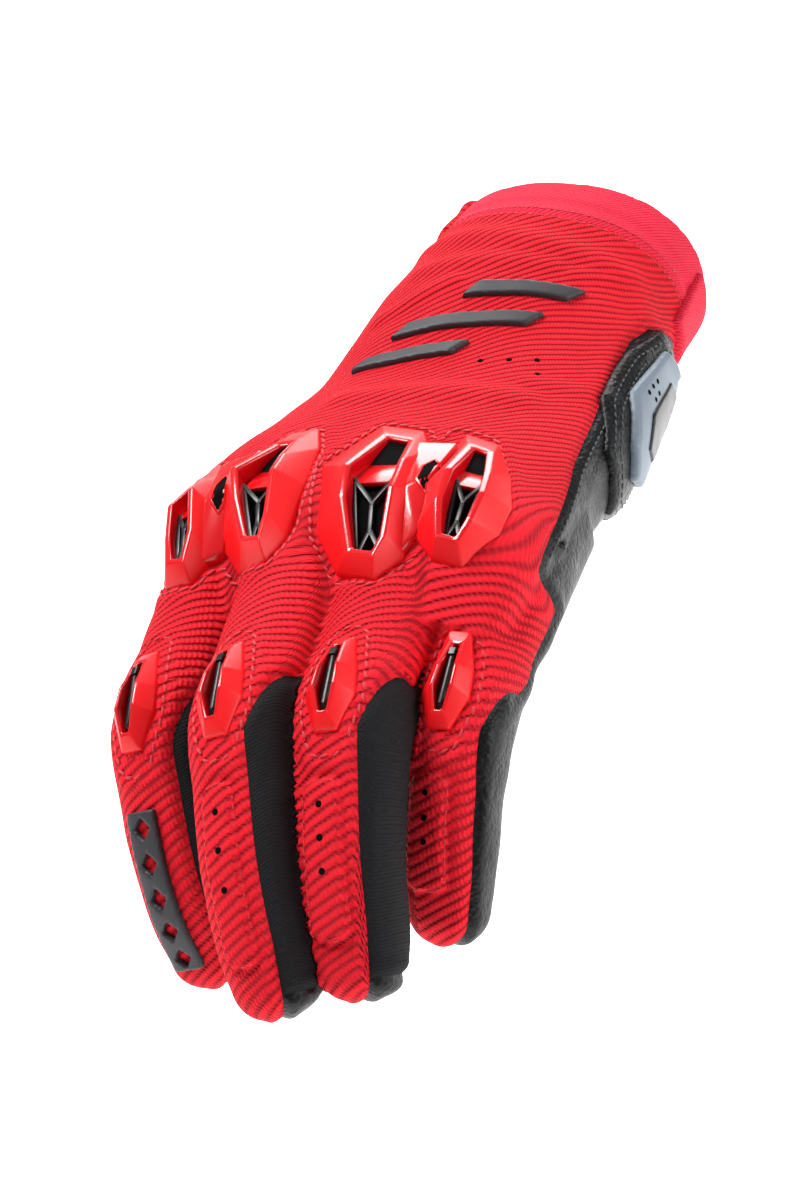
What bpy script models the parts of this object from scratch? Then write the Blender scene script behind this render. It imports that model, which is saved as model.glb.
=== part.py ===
"""Motorcycle glove for the left hand, filled as if worn, held up by its cuff.

Frame: +Z is the back of the hand, the fingers point to -Y, the thumb side is -X.
The origin is the centre of the cuff opening. Sizes are in millimetres up to the last
step, which writes every mesh in metres.
"""
import math

import bmesh
import bpy
import numpy as np
from mathutils import Vector
from mathutils.bvhtree import BVHTree

MM = 0.001

# Driving sizes
WALL = 1.9            # cloth and leather wall
GAP = 0.3             # clearance between neighbouring pieces
BAND_LINE = 46.0      # hand coordinate where the elastic band meets the back panel
WRAP_LINE = 35.0      # above this the back panel runs all round the wrist
SEAM_DEPTH = -1.6     # lower edge of the back panel beside a finger's centre line
SEAM_TURN = (10.0, 16.0)   # where the panel narrows before the middle joint, and over what run
ROOT_EDGE = 12.6      # reach of the back panel round the root of a finger
FINGER_POWER = 2.3    # superellipse power of the finger sections
BODY_SIDES = 28
FINGER_SIDES = 14
LINING_SIDES = 18     # inside of the body
LINING_FINGER_SIDES = 10
ROW_STEP = 9.0        # spacing of the body sections
FLAT_ANGLE = 0.006     # faces closer than this, in radians, count as one flat face
GUARD_WALL = 1.5
RUBBER_RISE = 1.3
PAD_RISE = 1.5
ORIGIN = np.array([0.2, 60.7, 9.7])
OBJECT_NAME = "Motorcycle glove"
CUTTERS_NAME = "Cutters"

# Hand body, one row for each section, in hand coordinates (wrist crease at y 0)
# y, centre x, centre z, half width, rise, drop, roll, pitch, power
BODY = (
    (60.7, 0.2, 9.7, 34.5, 27.0, 27.0, 3.0, 11.4, 2.2),
    (40.0, -0.8, 7.8, 34.8, 26.0, 26.0, 9.5, 11.0, 2.2),
    (20.0, -1.3, 5.1, 38.0, 24.0, 25.0, 10.0, 9.0, 2.2),
    (2.0, -1.0, 2.1, 40.0, 22.0, 24.0, 7.0, 6.0, 2.2),
    (-16.0, -0.8, 0.0, 42.0, 20.5, 25.0, 3.0, 3.0, 2.3),
    (-34.0, -2.4, 0.3, 44.0, 19.5, 25.0, 1.6, 1.0, 2.4),
    (-52.0, -4.1, 1.0, 46.4, 18.5, 24.0, 1.2, 0.0, 2.5),
    (-68.0, -4.1, 1.0, 47.2, 17.5, 21.0, -0.9, -2.0, 2.5),
    (-82.0, -2.6, -0.5, 45.8, 15.5, 17.5, -1.8, -4.0, 2.5),
    (-93.0, -1.0, -4.0, 42.5, 12.0, 14.0, -3.0, -6.0, 2.5),
    (-100.0, -0.8, -5.5, 39.5, 8.0, 10.0, -3.0, -6.0, 2.5),
)

# Cloth folds on the body: from x, y, to x, y, height, half width, +1 back or -1 palm
FOLDS = (
    (-20.0, -33.0, 22.0, -26.0, 1.1, 7.0, 1),
    (-30.0, 36.0, 24.0, 33.0, 0.9, 6.0, 1),
    (-26.0, 22.0, 8.0, 27.0, 0.7, 5.0, 1),
    (26.0, 34.0, 36.0, 22.0, 0.9, 6.0, 1),
    (40.0, -44.0, 48.0, -52.0, 1.1, 4.5, -1),
    (38.0, -56.0, 47.0, -64.0, 1.1, 4.5, -1),
    (-34.0, -8.0, 30.0, -2.0, 1.1, 6.0, -1),
    (-20.0, -50.0, 34.0, -62.0, 1.1, 7.0, -1),
    (-10.0, -30.0, -26.0, -64.0, 1.1, 6.0, -1),
)

# Fingers: knuckle x, y, z, knuckle flex, middle joint flex, spread, twist, bone 1, 2, 3, scale
FINGERS = {
    "index": (-34.0, -80.0, -4.5, 14.4, 39.0, 1.8, -17.4, 45.0, 28.0, 30.5, 1.00),
    "middle": (-11.0, -84.0, 0.3, 7.7, 32.4, 8.1, -16.3, 48.0, 30.0, 33.0, 1.00),
    "ring": (12.0, -80.0, -1.2, 7.6, 31.7, 7.7, -9.3, 45.0, 28.0, 31.0, 1.00),
    "pinky": (33.0, -71.0, -7.5, 12.5, 30.9, 3.2, -1.7, 37.0, 22.0, 27.0, 0.95),
}
PAIRS = (("index", "middle"), ("middle", "ring"), ("ring", "pinky"))

# Finger sections: joint number, distance past it, half width, rise, drop
FINGER_ROWS = (
    (0, -24.0, 12.0, 11.5, 12.0),
    (0, -8.0, 12.2, 13.5, 13.0),
    (0, 8.0, 12.0, 13.0, 13.0),
    (0, 24.0, 11.8, 11.8, 12.0),
    (1, -14.0, 11.6, 11.2, 11.2),
    (1, -5.0, 11.9, 11.8, 10.8),
    (1, 4.0, 12.0, 12.0, 10.4),
    (1, 13.0, 11.4, 11.0, 10.6),
    (2, -6.0, 11.0, 10.3, 10.3),
    (2, 4.0, 10.8, 10.0, 9.8),
    (3, -14.0, 10.2, 9.2, 9.4),
    (3, -8.0, 9.2, 8.0, 8.6),
    (3, -3.6, 7.2, 6.2, 6.8),
    (3, -1.0, 4.6, 4.0, 4.4),
)

# Edge of the back panel in each finger's section: left limit, right limit, right height
FINGER_SEAM = {
    "index": (-13.2, 8.6, 6.8),
    "middle": (-11.2, 6.0, 8.2),
    "ring": (-11.2, 6.4, 8.2),
    "pinky": (-11.4, 8.0, 6.2),
}

# Side seams of the body: y, height on the thumb side, height on the little finger side
BODY_SEAM = (
    (WRAP_LINE + 2.5, -60.0, -60.0),
    (WRAP_LINE, -6.0, 3.0),
    (30.0, -3.0, 9.5),
    (24.0, -2.0, 14.0),
    (15.0, -2.0, 16.2),
    (4.0, -2.0, 15.9),
    (-13.5, -2.0, 14.6),
    (-41.0, -2.0, 10.8),
    (-62.0, -2.0, 5.6),
    (-72.0, -2.0, 3.3),
    (-83.0, -2.0, -1.0),
    (-104.0, -2.0, -2.0),
)

# Thumb: joints in hand coordinates, then sections as distance, half width, half height
THUMB_JOINTS = (
    (-12.0, -20.0, -6.0),
    (-29.0, -46.0, -29.0),
    (-24.0, -76.0, -44.0),
    (-6.0, -104.0, -52.0),
)
THUMB_SIDE = (0.75, 0.35, -0.5)
THUMB_ROWS = (
    (0.0, 16.0, 13.0),
    (18.0, 17.0, 14.0),
    (34.0, 15.0, 13.0),
    (50.0, 12.5, 12.0),
    (64.0, 12.5, 11.5),
    (78.0, 12.0, 11.0),
    (-12.0, 11.0, 9.5),
    (-4.0, 8.0, 6.5),
    (-1.0, 4.5, 3.8),
)

# Knuckle guards. Heights above the cloth at the nine corners of every turret's rim, going
# round from the wrist end on the thumb side: wrist end twice, then down the little finger
# side, across the finger end and back up the thumb side
RIM_HEIGHTS = (2.2, 2.2, 5.0, 6.8, 6.2, 5.0, 5.0, 6.2, 6.4)

# Turret corners as across, along: the foot on the cloth, then the rim of the window
TURRETS = {
    "index": (
        ((-8.6, -22.0), (-2.0, -24.0), (4.0, -16.0), (6.2, -4.0), (6.4, 8.0), (3.6, 14.9), (-4.4, 14.0),
         (-8.8, 8.0), (-10.6, -4.0)),
        ((-6.2, -18.0), (-2.2, -17.6), (0.6, -12.0), (2.0, -6.6), (3.8, 4.0), (3.6, 12.6), (-1.6, 12.2),
         (-4.4, 4.0), (-5.8, -4.6)),
    ),
    "middle": (
        ((-4.4, -35.0), (1.6, -36.5), (4.6, -27.0), (4.8, -13.0), (3.4, 3.0), (0.6, 10.6), (-10.0, 6.7),
         (-15.0, -1.0), (-17.0, -12.0)),
        ((-5.8, -29.0), (-1.0, -29.5), (0.2, -20.0), (0.6, -12.5), (1.2, 0.0), (0.8, 8.4), (-5.6, 5.2),
         (-9.0, -6.0), (-11.2, -15.5)),
    ),
    "ring": (
        ((-8.0, -35.5), (2.5, -33.0), (6.4, -24.0), (8.0, -8.0), (6.8, 8.0), (1.5, 15.5), (-9.0, 10.6),
         (-14.6, 1.6), (-17.6, -19.0)),
        ((-5.4, -29.5), (2.2, -27.5), (4.8, -14.0), (5.4, -3.0), (4.6, 8.0), (2.6, 13.2), (-4.8, 10.0),
         (-7.4, -2.0), (-8.2, -11.0)),
    ),
    "pinky": (
        ((-14.0, -27.5), (-5.8, -25.5), (0.4, -14.0), (3.8, -4.0), (3.8, 5.0), (-1.8, 14.5), (-8.8, 14.0),
         (-14.6, 8.6), (-18.0, -1.0)),
        ((-11.2, -22.0), (-5.4, -20.6), (-1.2, -8.6), (0.8, 0.0), (0.0, 8.0), (-2.4, 12.9), (-7.6, 12.2),
         (-9.2, 4.0), (-9.8, -5.8)),
    ),
}
GUARDS = (("inner", "index", "middle"), ("outer", "ring", "pinky"))

# Bridge between two turrets: turret, across, along, height
BRIDGES = {
    "inner": (
        ("middle", -8.5, -27.0, 2.6),
        ("index", 2.0, -19.0, 2.6),
        ("index", 4.5, -4.0, 4.2),
        ("index", 5.0, 9.5, 2.0),
        ("middle", -13.5, 1.0, 2.0),
        ("middle", -13.0, -12.0, 4.2),
    ),
    "outer": (
        ("ring", 4.0, -25.5, 2.6),
        ("pinky", -13.4, -21.0, 2.6),
        ("pinky", -13.6, -5.0, 4.2),
        ("pinky", -13.0, 8.6, 2.0),
        ("ring", 6.0, 8.0, 2.0),
        ("ring", 6.2, -6.0, 4.2),
    ),
}
# Slot through each bridge: turret, across, along of its centre, half length, half width
SLOTS = {"inner": ("middle", -14.6, -12.0, 5.2, 1.5), "outer": ("ring", 10.4, -11.0, 5.2, 1.6)}
FLAP = (0.24, 0.50, 1.0, 3.2, 1.2)   # scoop in a window: from, to share of its length, heights, thickness
GRILLE = (0.50, 0.96, 1.0, 1.3)      # grille in a window: from, to share, height, bar width

# Finger sliders: corners as across, along; then rim heights
SLIDER_FOOT = (
    (-2.4, -12.4), (2.4, -12.4), (5.0, -3.0), (5.6, 3.4),
    (2.6, 11.4), (-2.6, 11.4), (-5.6, 3.4), (-5.0, -3.0),
)
SLIDER_RIM = (
    (-1.4, -9.8), (1.4, -9.8), (2.5, -2.6), (2.8, 2.6),
    (1.5, 8.8), (-1.5, 8.8), (-2.8, 2.6), (-2.5, -2.6),
)
SLIDER_BACK = 1.8     # how far the slider sits towards the wrist from the middle joint
SLIDER_HEIGHTS = (2.2, 2.2, 3.7, 3.9, 2.6, 2.6, 3.9, 3.7)

# Rubber bars on the back of the hand: centre x, y, length, width, slant
BACK_BARS = (
    (-13.0, -14.0, 30.0, 4.4, 14.0),
    (-3.0, -1.0, 38.0, 4.4, 14.0),
    (7.0, 12.0, 30.0, 4.4, 14.0),
)
STRIP_WINDOWS = 5     # lozenges cut through the strip on the index finger

# Heel patch and palm slider: corners as y, z in hand coordinates
HEEL_PATCH = (
    (29.0, 1.0), (24.0, 9.5), (8.0, 12.0), (-14.0, 11.0), (-28.0, 5.0),
    (-31.0, -10.0), (-22.0, -17.0), (14.0, -17.0), (27.0, -9.0),
)
PALM_SLIDER = (
    (25.0, -3.0), (19.0, 6.5), (-6.0, 7.5), (-18.0, 1.0),
    (-21.0, -6.0), (-13.0, -12.0), (12.0, -12.0), (22.0, -9.0),
)
PALM_INSERT = ((20.0, -5.0), (14.0, 1.0), (-4.0, 1.5), (-12.0, -3.0), (-8.0, -8.0), (10.0, -8.5))

RED_CLOTH = ("Red ribbed cloth", (0.72, 0.01, 0.02), 0.85)
RED_BAND = ("Red elastic", (0.80, 0.05, 0.09), 0.80)
RED_SHELL = ("Red moulded shell", (0.80, 0.01, 0.01), 0.22)
BLACK_LEATHER = ("Black leather", (0.012, 0.013, 0.016), 0.45)
BLACK_CLOTH = ("Black stretch cloth", (0.006, 0.006, 0.008), 0.90)
BLACK_PLASTIC = ("Black plastic", (0.010, 0.010, 0.012), 0.40)
RUBBER = ("Dark rubber", (0.027, 0.026, 0.030), 0.60)
GREY_RUBBER = ("Grey slider plastic", (0.20, 0.25, 0.31), 0.55)


# Vector helpers

def rotation(axis, degrees):
    """Rotation matrix about one world axis."""
    angle = math.radians(degrees)
    cos, sin = math.cos(angle), math.sin(angle)
    tables = {
        "x": ((1, 0, 0), (0, cos, -sin), (0, sin, cos)),
        "y": ((cos, 0, sin), (0, 1, 0), (-sin, 0, cos)),
        "z": ((cos, -sin, 0), (sin, cos, 0), (0, 0, 1)),
    }
    return np.array(tables[axis])


def unit(vector):
    """The vector at length one."""
    return vector / np.linalg.norm(vector)


def superellipse(half_width, rise, drop, power, count, grow=0.0):
    """Points round one section, x across and z up."""
    angles = np.linspace(0.0, 2.0 * math.pi, count, endpoint=False)
    cos, sin = np.cos(angles), np.sin(angles)
    across = (half_width + grow) * np.sign(cos) * np.abs(cos) ** (2.0 / power)
    height = np.where(sin > 0.0, rise + grow, drop + grow)
    return across, height * np.sign(sin) * np.abs(sin) ** (2.0 / power)


# Sections

def body_row(y):
    """Section values of the hand body at one y, read between the table rows."""
    table = np.array(BODY)
    return [float(np.interp(-y, -table[:, 0], table[:, column])) for column in range(9)]


def body_frame(y):
    """Centre and turning matrix of the body section at one y."""
    row = body_row(y)
    turn = rotation("x", row[7]) @ rotation("y", row[6])
    return np.array([row[1], y, row[2]]) - ORIGIN, turn


def fold_height(x, y, side):
    """How far the folds lift the cloth at one place of the body."""
    lift = np.zeros_like(x)
    for x0, y0, x1, y1, height, width, fold_side in FOLDS:
        run = np.array([x1 - x0, y1 - y0])
        share = ((x - x0) * run[0] + (y - y0) * run[1]) / (run @ run)
        share = np.clip(share, 0.0, 1.0)
        away = np.hypot(x - x0 - share * run[0], y - y0 - share * run[1])
        bump = 0.5 + 0.5 * np.cos(math.pi * np.clip(away / width, 0.0, 1.0))
        lift = np.maximum(lift, np.where(side == fold_side, height * bump, 0.0))
    return lift


def body_ring(y, grow, folds, count):
    """One ring of points round the hand body."""
    row = body_row(y)
    across, height = superellipse(row[3], row[4], row[5], row[8], count, grow)
    if folds:
        lift = fold_height(across, np.full(count, y), np.where(height > 0.0, 1, -1))
        norm = np.hypot(across, height)
        across = across * (1.0 + lift / norm)
        height = height * (1.0 + lift / norm)
    centre, turn = body_frame(y)
    local = np.stack([across, np.zeros(count), height], axis=1)
    return local @ turn.T + centre


def finger_joints(name):
    """Joint points of one finger and the direction across it."""
    x, y, z, flex, bend, spread, twist, one, two, three, scale = FINGERS[name]
    frame = rotation("z", spread) @ rotation("y", twist)
    base = np.array([x, y, z]) - ORIGIN

    def along(degrees):
        angle = math.radians(degrees)
        return frame @ np.array([0.0, -math.cos(angle), -math.sin(angle)])

    knuckle = along(flex)
    middle = along(flex + bend)
    last = along(flex + 1.5 * bend)
    joint_two = base + knuckle * one
    joint_three = joint_two + middle * two
    tip = joint_three + last * three
    start = base - along(0.4 * flex) * 26.0
    return [start, base, joint_two, joint_three, tip], frame @ np.array([1.0, 0.0, 0.0])


def rounded_path(points, radius=11.0, steps=9):
    """Polyline through the points with every corner rounded."""
    path = [points[0]]
    for before, corner, after in zip(points[:-2], points[1:-1], points[2:]):
        start = corner - unit(corner - before) * radius
        end = corner + unit(after - corner) * radius
        for step in range(steps):
            t = step / (steps - 1)
            path.append((1 - t) ** 2 * start + 2 * t * (1 - t) * corner + t * t * end)
    path.append(points[-1])
    return np.array(path)


class Path:
    """Arc length lookup along a rounded polyline, with a fixed direction across it."""

    def __init__(self, joints, across):
        self.points = rounded_path(joints)
        steps = np.linalg.norm(np.diff(self.points, axis=0), axis=1)
        self.lengths = np.concatenate(([0.0], np.cumsum(steps)))
        self.total = self.lengths[-1]
        self.across = across
        self.stations = [self.nearest(joint) for joint in joints[1:-1]] + [self.total]

    def nearest(self, point):
        """Arc length of the path point nearest to one point."""
        return self.lengths[np.linalg.norm(self.points - point, axis=1).argmin()]

    def point(self, distance):
        """Position at one arc length, carried straight on past either end."""
        inside = min(max(distance, 0.0), self.total)
        place = [np.interp(inside, self.lengths, self.points[:, axis]) for axis in range(3)]
        return np.array(place)

    def frame(self, distance):
        """Position, across, along and up directions at one arc length."""
        low = max(min(distance, self.total) - 0.5, 0.0)
        high = min(max(distance, 0.0) + 0.5, self.total)
        along = unit(self.point(high) - self.point(low))
        across = unit(self.across - along * (self.across @ along))
        up = np.cross(along, across)
        return self.point(distance), across, along, up


def finger_path(name):
    """Rounded centre path of one finger."""
    joints, across = finger_joints(name)
    return Path(joints, across)


def path_ring(path, distance, half_width, rise, drop, count, grow=0.0):
    """One ring of points round a path."""
    centre, across, _, up = path.frame(distance)
    x, z = superellipse(half_width, rise, drop, FINGER_POWER, count, grow)
    return centre + np.outer(x, across) + np.outer(z, up)


def finger_rings(name, grow, shorten, count):
    """Rings of one finger."""
    path = finger_path(name)
    scale = FINGERS[name][-1]
    rings = []
    for joint, past, half_width, rise, drop in FINGER_ROWS:
        distance = path.stations[joint] + past
        if joint == 3:
            distance -= shorten
        sizes = (half_width * scale, rise * scale, drop * scale)
        rings.append(path_ring(path, distance, *sizes, count, grow))
    return rings


def thumb_path():
    """Rounded centre path of the thumb."""
    joints = [np.array(joint) - ORIGIN for joint in THUMB_JOINTS]
    return Path(joints, np.array(THUMB_SIDE))


def thumb_rings(grow, shorten, count):
    """Rings of the thumb."""
    path = thumb_path()
    rings = []
    for distance, half_width, half_height in THUMB_ROWS:
        if distance < 0.0:
            distance += path.total - shorten
        rings.append(path_ring(path, distance, half_width, half_height, half_height, count, grow))
    return rings


# Mesh helpers

def collection(name):
    """Collection in the scene, made once for each name."""
    found = bpy.data.collections.get(name)
    if found:
        return found
    made = bpy.data.collections.new(name)
    bpy.context.scene.collection.children.link(made)
    return made


def add_object(name, mesh):
    """Construction object with the mesh, hidden from renders and drawn as wire."""
    thing = bpy.data.objects.new(name, mesh)
    thing.hide_render = True
    thing.display_type = "WIRE"
    collection(CUTTERS_NAME).objects.link(thing)
    return thing


def make_object(name, vertices, faces):
    """Construction object from points in millimetres and faces."""
    mesh = bpy.data.meshes.new(name)
    mesh.from_pydata([tuple(map(float, vertex)) for vertex in vertices], [], faces)
    mesh.validate()
    return add_object(name, mesh)


def loft(name, rings):
    """Closed solid through the rings, with flat ends."""
    count = len(rings[0])
    vertices = [point for ring in rings for point in ring]
    faces = []
    for row in range(len(rings) - 1):
        for side in range(count):
            a = row * count + side
            b = row * count + (side + 1) % count
            faces.append((a, b, b + count, a + count))
    faces.append(tuple(reversed(range(count))))
    last = (len(rings) - 1) * count
    faces.append(tuple(range(last, last + count)))
    return outward(make_object(name, vertices, faces))


def hoop(name, rings):
    """Closed solid whose rings run round a hole and meet again."""
    count = len(rings[0])
    vertices = [point for ring in rings for point in ring]
    faces = []
    for row in range(len(rings)):
        after = (row + 1) % len(rings)
        for side in range(count):
            beside = (side + 1) % count
            here, there = row * count, after * count
            faces.append((here + side, here + beside, there + beside, there + side))
    return outward(make_object(name, vertices, faces))


def outward(thing):
    """Split the faces into triangles and turn them so that the solid has positive volume."""
    work = bmesh.new()
    work.from_mesh(thing.data)
    bmesh.ops.triangulate(work, faces=work.faces[:])
    if work.calc_volume(signed=True) < 0.0:
        bmesh.ops.reverse_faces(work, faces=work.faces[:])
    work.to_mesh(thing.data)
    work.free()
    return thing


def boolean(target, operation, *tools):
    """Cut or join the target with each tool; EXACT leaves slivers in these thin walls."""
    for tool in tools:
        modifier = target.modifiers.new("cut", "BOOLEAN")
        modifier.operation = operation
        modifier.solver = "MANIFOLD"
        modifier.object = tool
        shape = target.evaluated_get(bpy.context.evaluated_depsgraph_get())
        result = bpy.data.meshes.new_from_object(shape)
        target.modifiers.clear()
        target.data = result
        clean(target)
    return target


def clean(thing):
    """Join the flat faces that a Boolean splits, then turn all faces into triangles."""
    work = bmesh.new()
    work.from_mesh(thing.data)
    bmesh.ops.dissolve_limit(work, angle_limit=FLAT_ANGLE, verts=work.verts[:], edges=work.edges[:])
    bmesh.ops.triangulate(work, faces=work.faces[:])
    work.to_mesh(thing.data)
    work.free()


def discard(*things):
    """Remove construction solids."""
    for thing in things:
        bpy.data.objects.remove(thing, do_unlink=True)


def copy_of(thing, name):
    """Independent copy of a construction solid."""
    return add_object(name, thing.data.copy())


def material(settings):
    """Principled material, made once for each name."""
    name, colour, roughness = settings
    found = bpy.data.materials.get(name)
    if found:
        return found
    made = bpy.data.materials.new(name)
    made.use_nodes = True
    shader = made.node_tree.nodes["Principled BSDF"]
    shader.inputs["Base Color"].default_value = (*colour, 1.0)
    shader.inputs["Roughness"].default_value = roughness
    made.diffuse_color = (*colour, 1.0)
    return made


def finish(thing, name, settings, smooth=True):
    """Name the piece, move it to the object's collection, give it its material and scale it to metres."""
    collection(CUTTERS_NAME).objects.unlink(thing)
    collection(OBJECT_NAME).objects.link(thing)
    thing.hide_render = False
    thing.display_type = "TEXTURED"
    thing.name = name
    mesh = thing.data
    mesh.name = name
    mesh.materials.clear()
    mesh.materials.append(material(settings))
    for vertex in mesh.vertices:
        vertex.co *= MM
    for polygon in mesh.polygons:
        polygon.use_smooth = smooth
        polygon.material_index = 0
    return thing


# Hollow hand

def hand_solid(name, grow, folds, open_cuff):
    """Union of the hand body, the four fingers and the thumb, grown by one distance."""
    lining = grow < 0.0
    sides = LINING_SIDES if lining else BODY_SIDES
    finger_sides = LINING_FINGER_SIDES if lining else FINGER_SIDES
    step = ROW_STEP * 1.5 if lining else ROW_STEP
    rows = np.arange(BODY[0][0], BODY[-1][0] + 3.0, -step)
    rings = [body_ring(float(y), grow, folds, sides) for y in rows]
    rings.append(body_ring(BODY[-1][0] - grow, grow, False, sides))
    if open_cuff:
        _, turn = body_frame(BODY[0][0])
        rings.insert(0, rings[0] + turn @ np.array([0.0, 6.0, 0.0]))
    body = loft(name, rings)
    shorten = max(-grow, 0.0)
    limbs = [loft("limb", finger_rings(finger, grow, shorten, finger_sides)) for finger in FINGERS]
    limbs.append(loft("limb", thumb_rings(grow, shorten, finger_sides)))
    boolean(body, "UNION", *limbs)
    discard(*limbs)
    return body


def body_slab(name, rows):
    """Cutter through the body: for each row its y and a polygon in the section plane."""
    rings = []
    for y, polygon in rows:
        nearest = min(max(y, BODY[-1][0]), BODY[0][0])
        centre, turn = body_frame(nearest)
        flat = np.array([(x, y - nearest, z) for x, z in polygon])
        rings.append(flat @ turn.T + centre)
    return loft(name, rings)


def finger_slab(path, start, end, outline, extend=0.0):
    """Cutter along a finger, its ends moved outwards; the outline is a function of distance."""
    distances = np.linspace(start, end, 14)
    distances[0] -= extend
    distances[-1] += extend
    rings = []
    for distance in distances:
        centre, across, along, up = path.frame(distance)
        centre = centre + along * max(distance - path.total, 0.0)
        rings.append(np.array([centre + x * across + z * up for x, z in outline(distance)]))
    return loft("slab", rings)


def back_outline(finger, path, grow):
    """Outline of the back panel in a finger's sections: wide at the root, then narrower."""
    left, right, right_height = FINGER_SEAM[finger]
    root = path.stations[1]

    def outline(distance):
        share = min(max((distance - root + SEAM_TURN[0]) / SEAM_TURN[1], 0.0), 1.0)
        edge = ROOT_EDGE * (1.0 - share) + right * share
        height = SEAM_DEPTH * (1.0 - share) + right_height * share
        return (
            (left - grow, SEAM_DEPTH - grow),
            (-2.4, SEAM_DEPTH - 0.7 - grow),
            (edge + grow, height - grow),
            (edge + grow, 14.0 + grow),
            (0.0, 15.0 + grow),
            (left + 4.0, 11.0 + grow),
            (left - grow, 6.5 + grow),
        )

    return outline


def back_cutter(grow):
    """Everything that belongs to the back panel, grown by the gap."""
    rows = []
    for y, left, right in BODY_SEAM:
        left, right = left - grow, right - grow
        lower = ((-75.0, left), (-6.0, left - 3.0), (16.0, right - 3.0), (75.0, right))
        rows.append((y, lower + ((75.0, 70.0), (-75.0, 70.0))))
    rows.insert(0, (BAND_LINE + 20.0, rows[0][1]))
    cutter = body_slab("back cutter", rows)
    slabs = []
    for finger in FINGERS:
        path = finger_path(finger)
        outline = back_outline(finger, path, grow)
        slabs.append(finger_slab(path, path.stations[0] + 4.0, path.total + 5.0, outline))
    boolean(cutter, "UNION", *slabs)
    discard(*slabs)
    return cutter


def side_cutter(first, second, grow):
    """Space of the strip between two fingers: the facing sides of both."""
    left = finger_path(first)
    right = finger_path(second)
    inner, outer, low, high = 3.0 - grow, 15.0 + grow, -7.0 - grow, 14.0
    near = ((inner, low), (outer, low), (outer, high), (inner, high))
    far = ((-outer, low), (-inner, low), (-inner, high), (-outer, high))
    here = finger_slab(left, left.stations[0] + 12.4, left.total - 5.0, lambda _: near, grow)
    there = finger_slab(right, right.stations[0] + 13.1, right.total - 5.0, lambda _: far, grow)
    boolean(here, "UNION", there)
    discard(there)
    return here


def band_cutter(line):
    """Everything above one line of the cuff."""
    wide = ((-90.0, -90.0), (90.0, -90.0), (90.0, 90.0), (-90.0, 90.0))
    return body_slab("band cutter", ((BODY[0][0] + 12.0, wide), (line, wide)))


def largest_part(thing):
    """Keep only the largest connected piece of a cut solid."""
    mesh = thing.data
    parent = list(range(len(mesh.vertices)))

    def root(index):
        while parent[index] != index:
            parent[index] = parent[parent[index]]
            index = parent[index]
        return index

    for edge in mesh.edges:
        parent[root(edge.vertices[0])] = root(edge.vertices[1])
    sizes = {}
    for polygon in mesh.polygons:
        key = root(polygon.vertices[0])
        sizes[key] = sizes.get(key, 0.0) + polygon.area
    best = max(sizes, key=sizes.get)
    keep = [polygon.vertices[:] for polygon in mesh.polygons if root(polygon.vertices[0]) == best]
    used = sorted({index for face in keep for index in face})
    place = {index: number for number, index in enumerate(used)}
    fresh = bpy.data.meshes.new(thing.name)
    fresh.from_pydata(
        [tuple(mesh.vertices[index].co) for index in used],
        [],
        [tuple(place[index] for index in face) for face in keep],
    )
    thing.data = fresh
    return thing


def build_cloth():
    """Band, back panel, palm panel, thumb back and the strips between the fingers."""
    shell = hand_solid("shell", 0.0, True, False)
    inner = hand_solid("inner", -WALL, False, True)
    boolean(shell, "DIFFERENCE", inner)
    band = copy_of(shell, "band")
    above = band_cutter(BAND_LINE + GAP / 2.0)
    boolean(band, "INTERSECT", above)
    finish(band, "cuff_band", RED_BAND)
    below = band_cutter(BAND_LINE - GAP / 2.0)
    boolean(shell, "DIFFERENCE", below)
    back = copy_of(shell, "back")
    inside = back_cutter(0.0)
    boolean(back, "INTERSECT", inside)
    outside = back_cutter(GAP)
    boolean(shell, "DIFFERENCE", outside)

    thumb = thumb_path()
    tight = ((-17.0, 1.0), (17.0, 1.0), (17.0, 15.5), (-17.0, 15.5))
    cover = finger_slab(thumb, 38.0, thumb.total + 4.0, lambda _: tight)
    loose = ((-17.3, 1.0 - GAP), (17.3, 1.0 - GAP), (17.3, 15.8), (-17.3, 15.8))
    hole = finger_slab(thumb, 38.0, thumb.total + 4.0, lambda _: loose, GAP)
    thumb_back = copy_of(shell, "thumb back")
    boolean(thumb_back, "INTERSECT", cover)
    boolean(shell, "DIFFERENCE", hole)
    finish(largest_part(thumb_back), "thumb_back", RED_CLOTH)

    for first, second in PAIRS:
        strip = copy_of(shell, "strip")
        space = side_cutter(first, second, 0.0)
        room = side_cutter(first, second, GAP)
        boolean(strip, "INTERSECT", space)
        boolean(shell, "DIFFERENCE", room)
        finish(largest_part(strip), f"fourchette_{first}_{second}", BLACK_CLOTH)
        discard(space, room)
    discard(inner, above, below, inside, outside, cover, hole)
    return back, shell


# Pieces seated on the cloth

class Seat:
    """Cloth surface with its clearance, and the local frames that pieces sit in."""

    def __init__(self):
        self.solid = hand_solid("seat", GAP, True, True)
        depsgraph = bpy.context.evaluated_depsgraph_get()
        self.tree = BVHTree.FromObject(self.solid, depsgraph)

    def frame(self, finger, joint):
        """Joint position, across, along and up directions of one finger."""
        path = finger_path(finger)
        return path.frame(path.stations[joint])

    def point(self, frame, across, along, height):
        """World point at one height above the cloth."""
        centre, side, forward, up = frame
        start = centre + side * across + forward * along + up * 45.0
        hit = self.tree.ray_cast(Vector(start), Vector(-up))[0]
        surface = np.array(hit) if hit else start - up * 30.0
        return surface + up * height

    def ring(self, frame, corners, heights):
        """Points above the cloth at every corner."""
        return np.array([self.point(frame, *corner, height) for corner, height in zip(corners, heights)])


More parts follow.
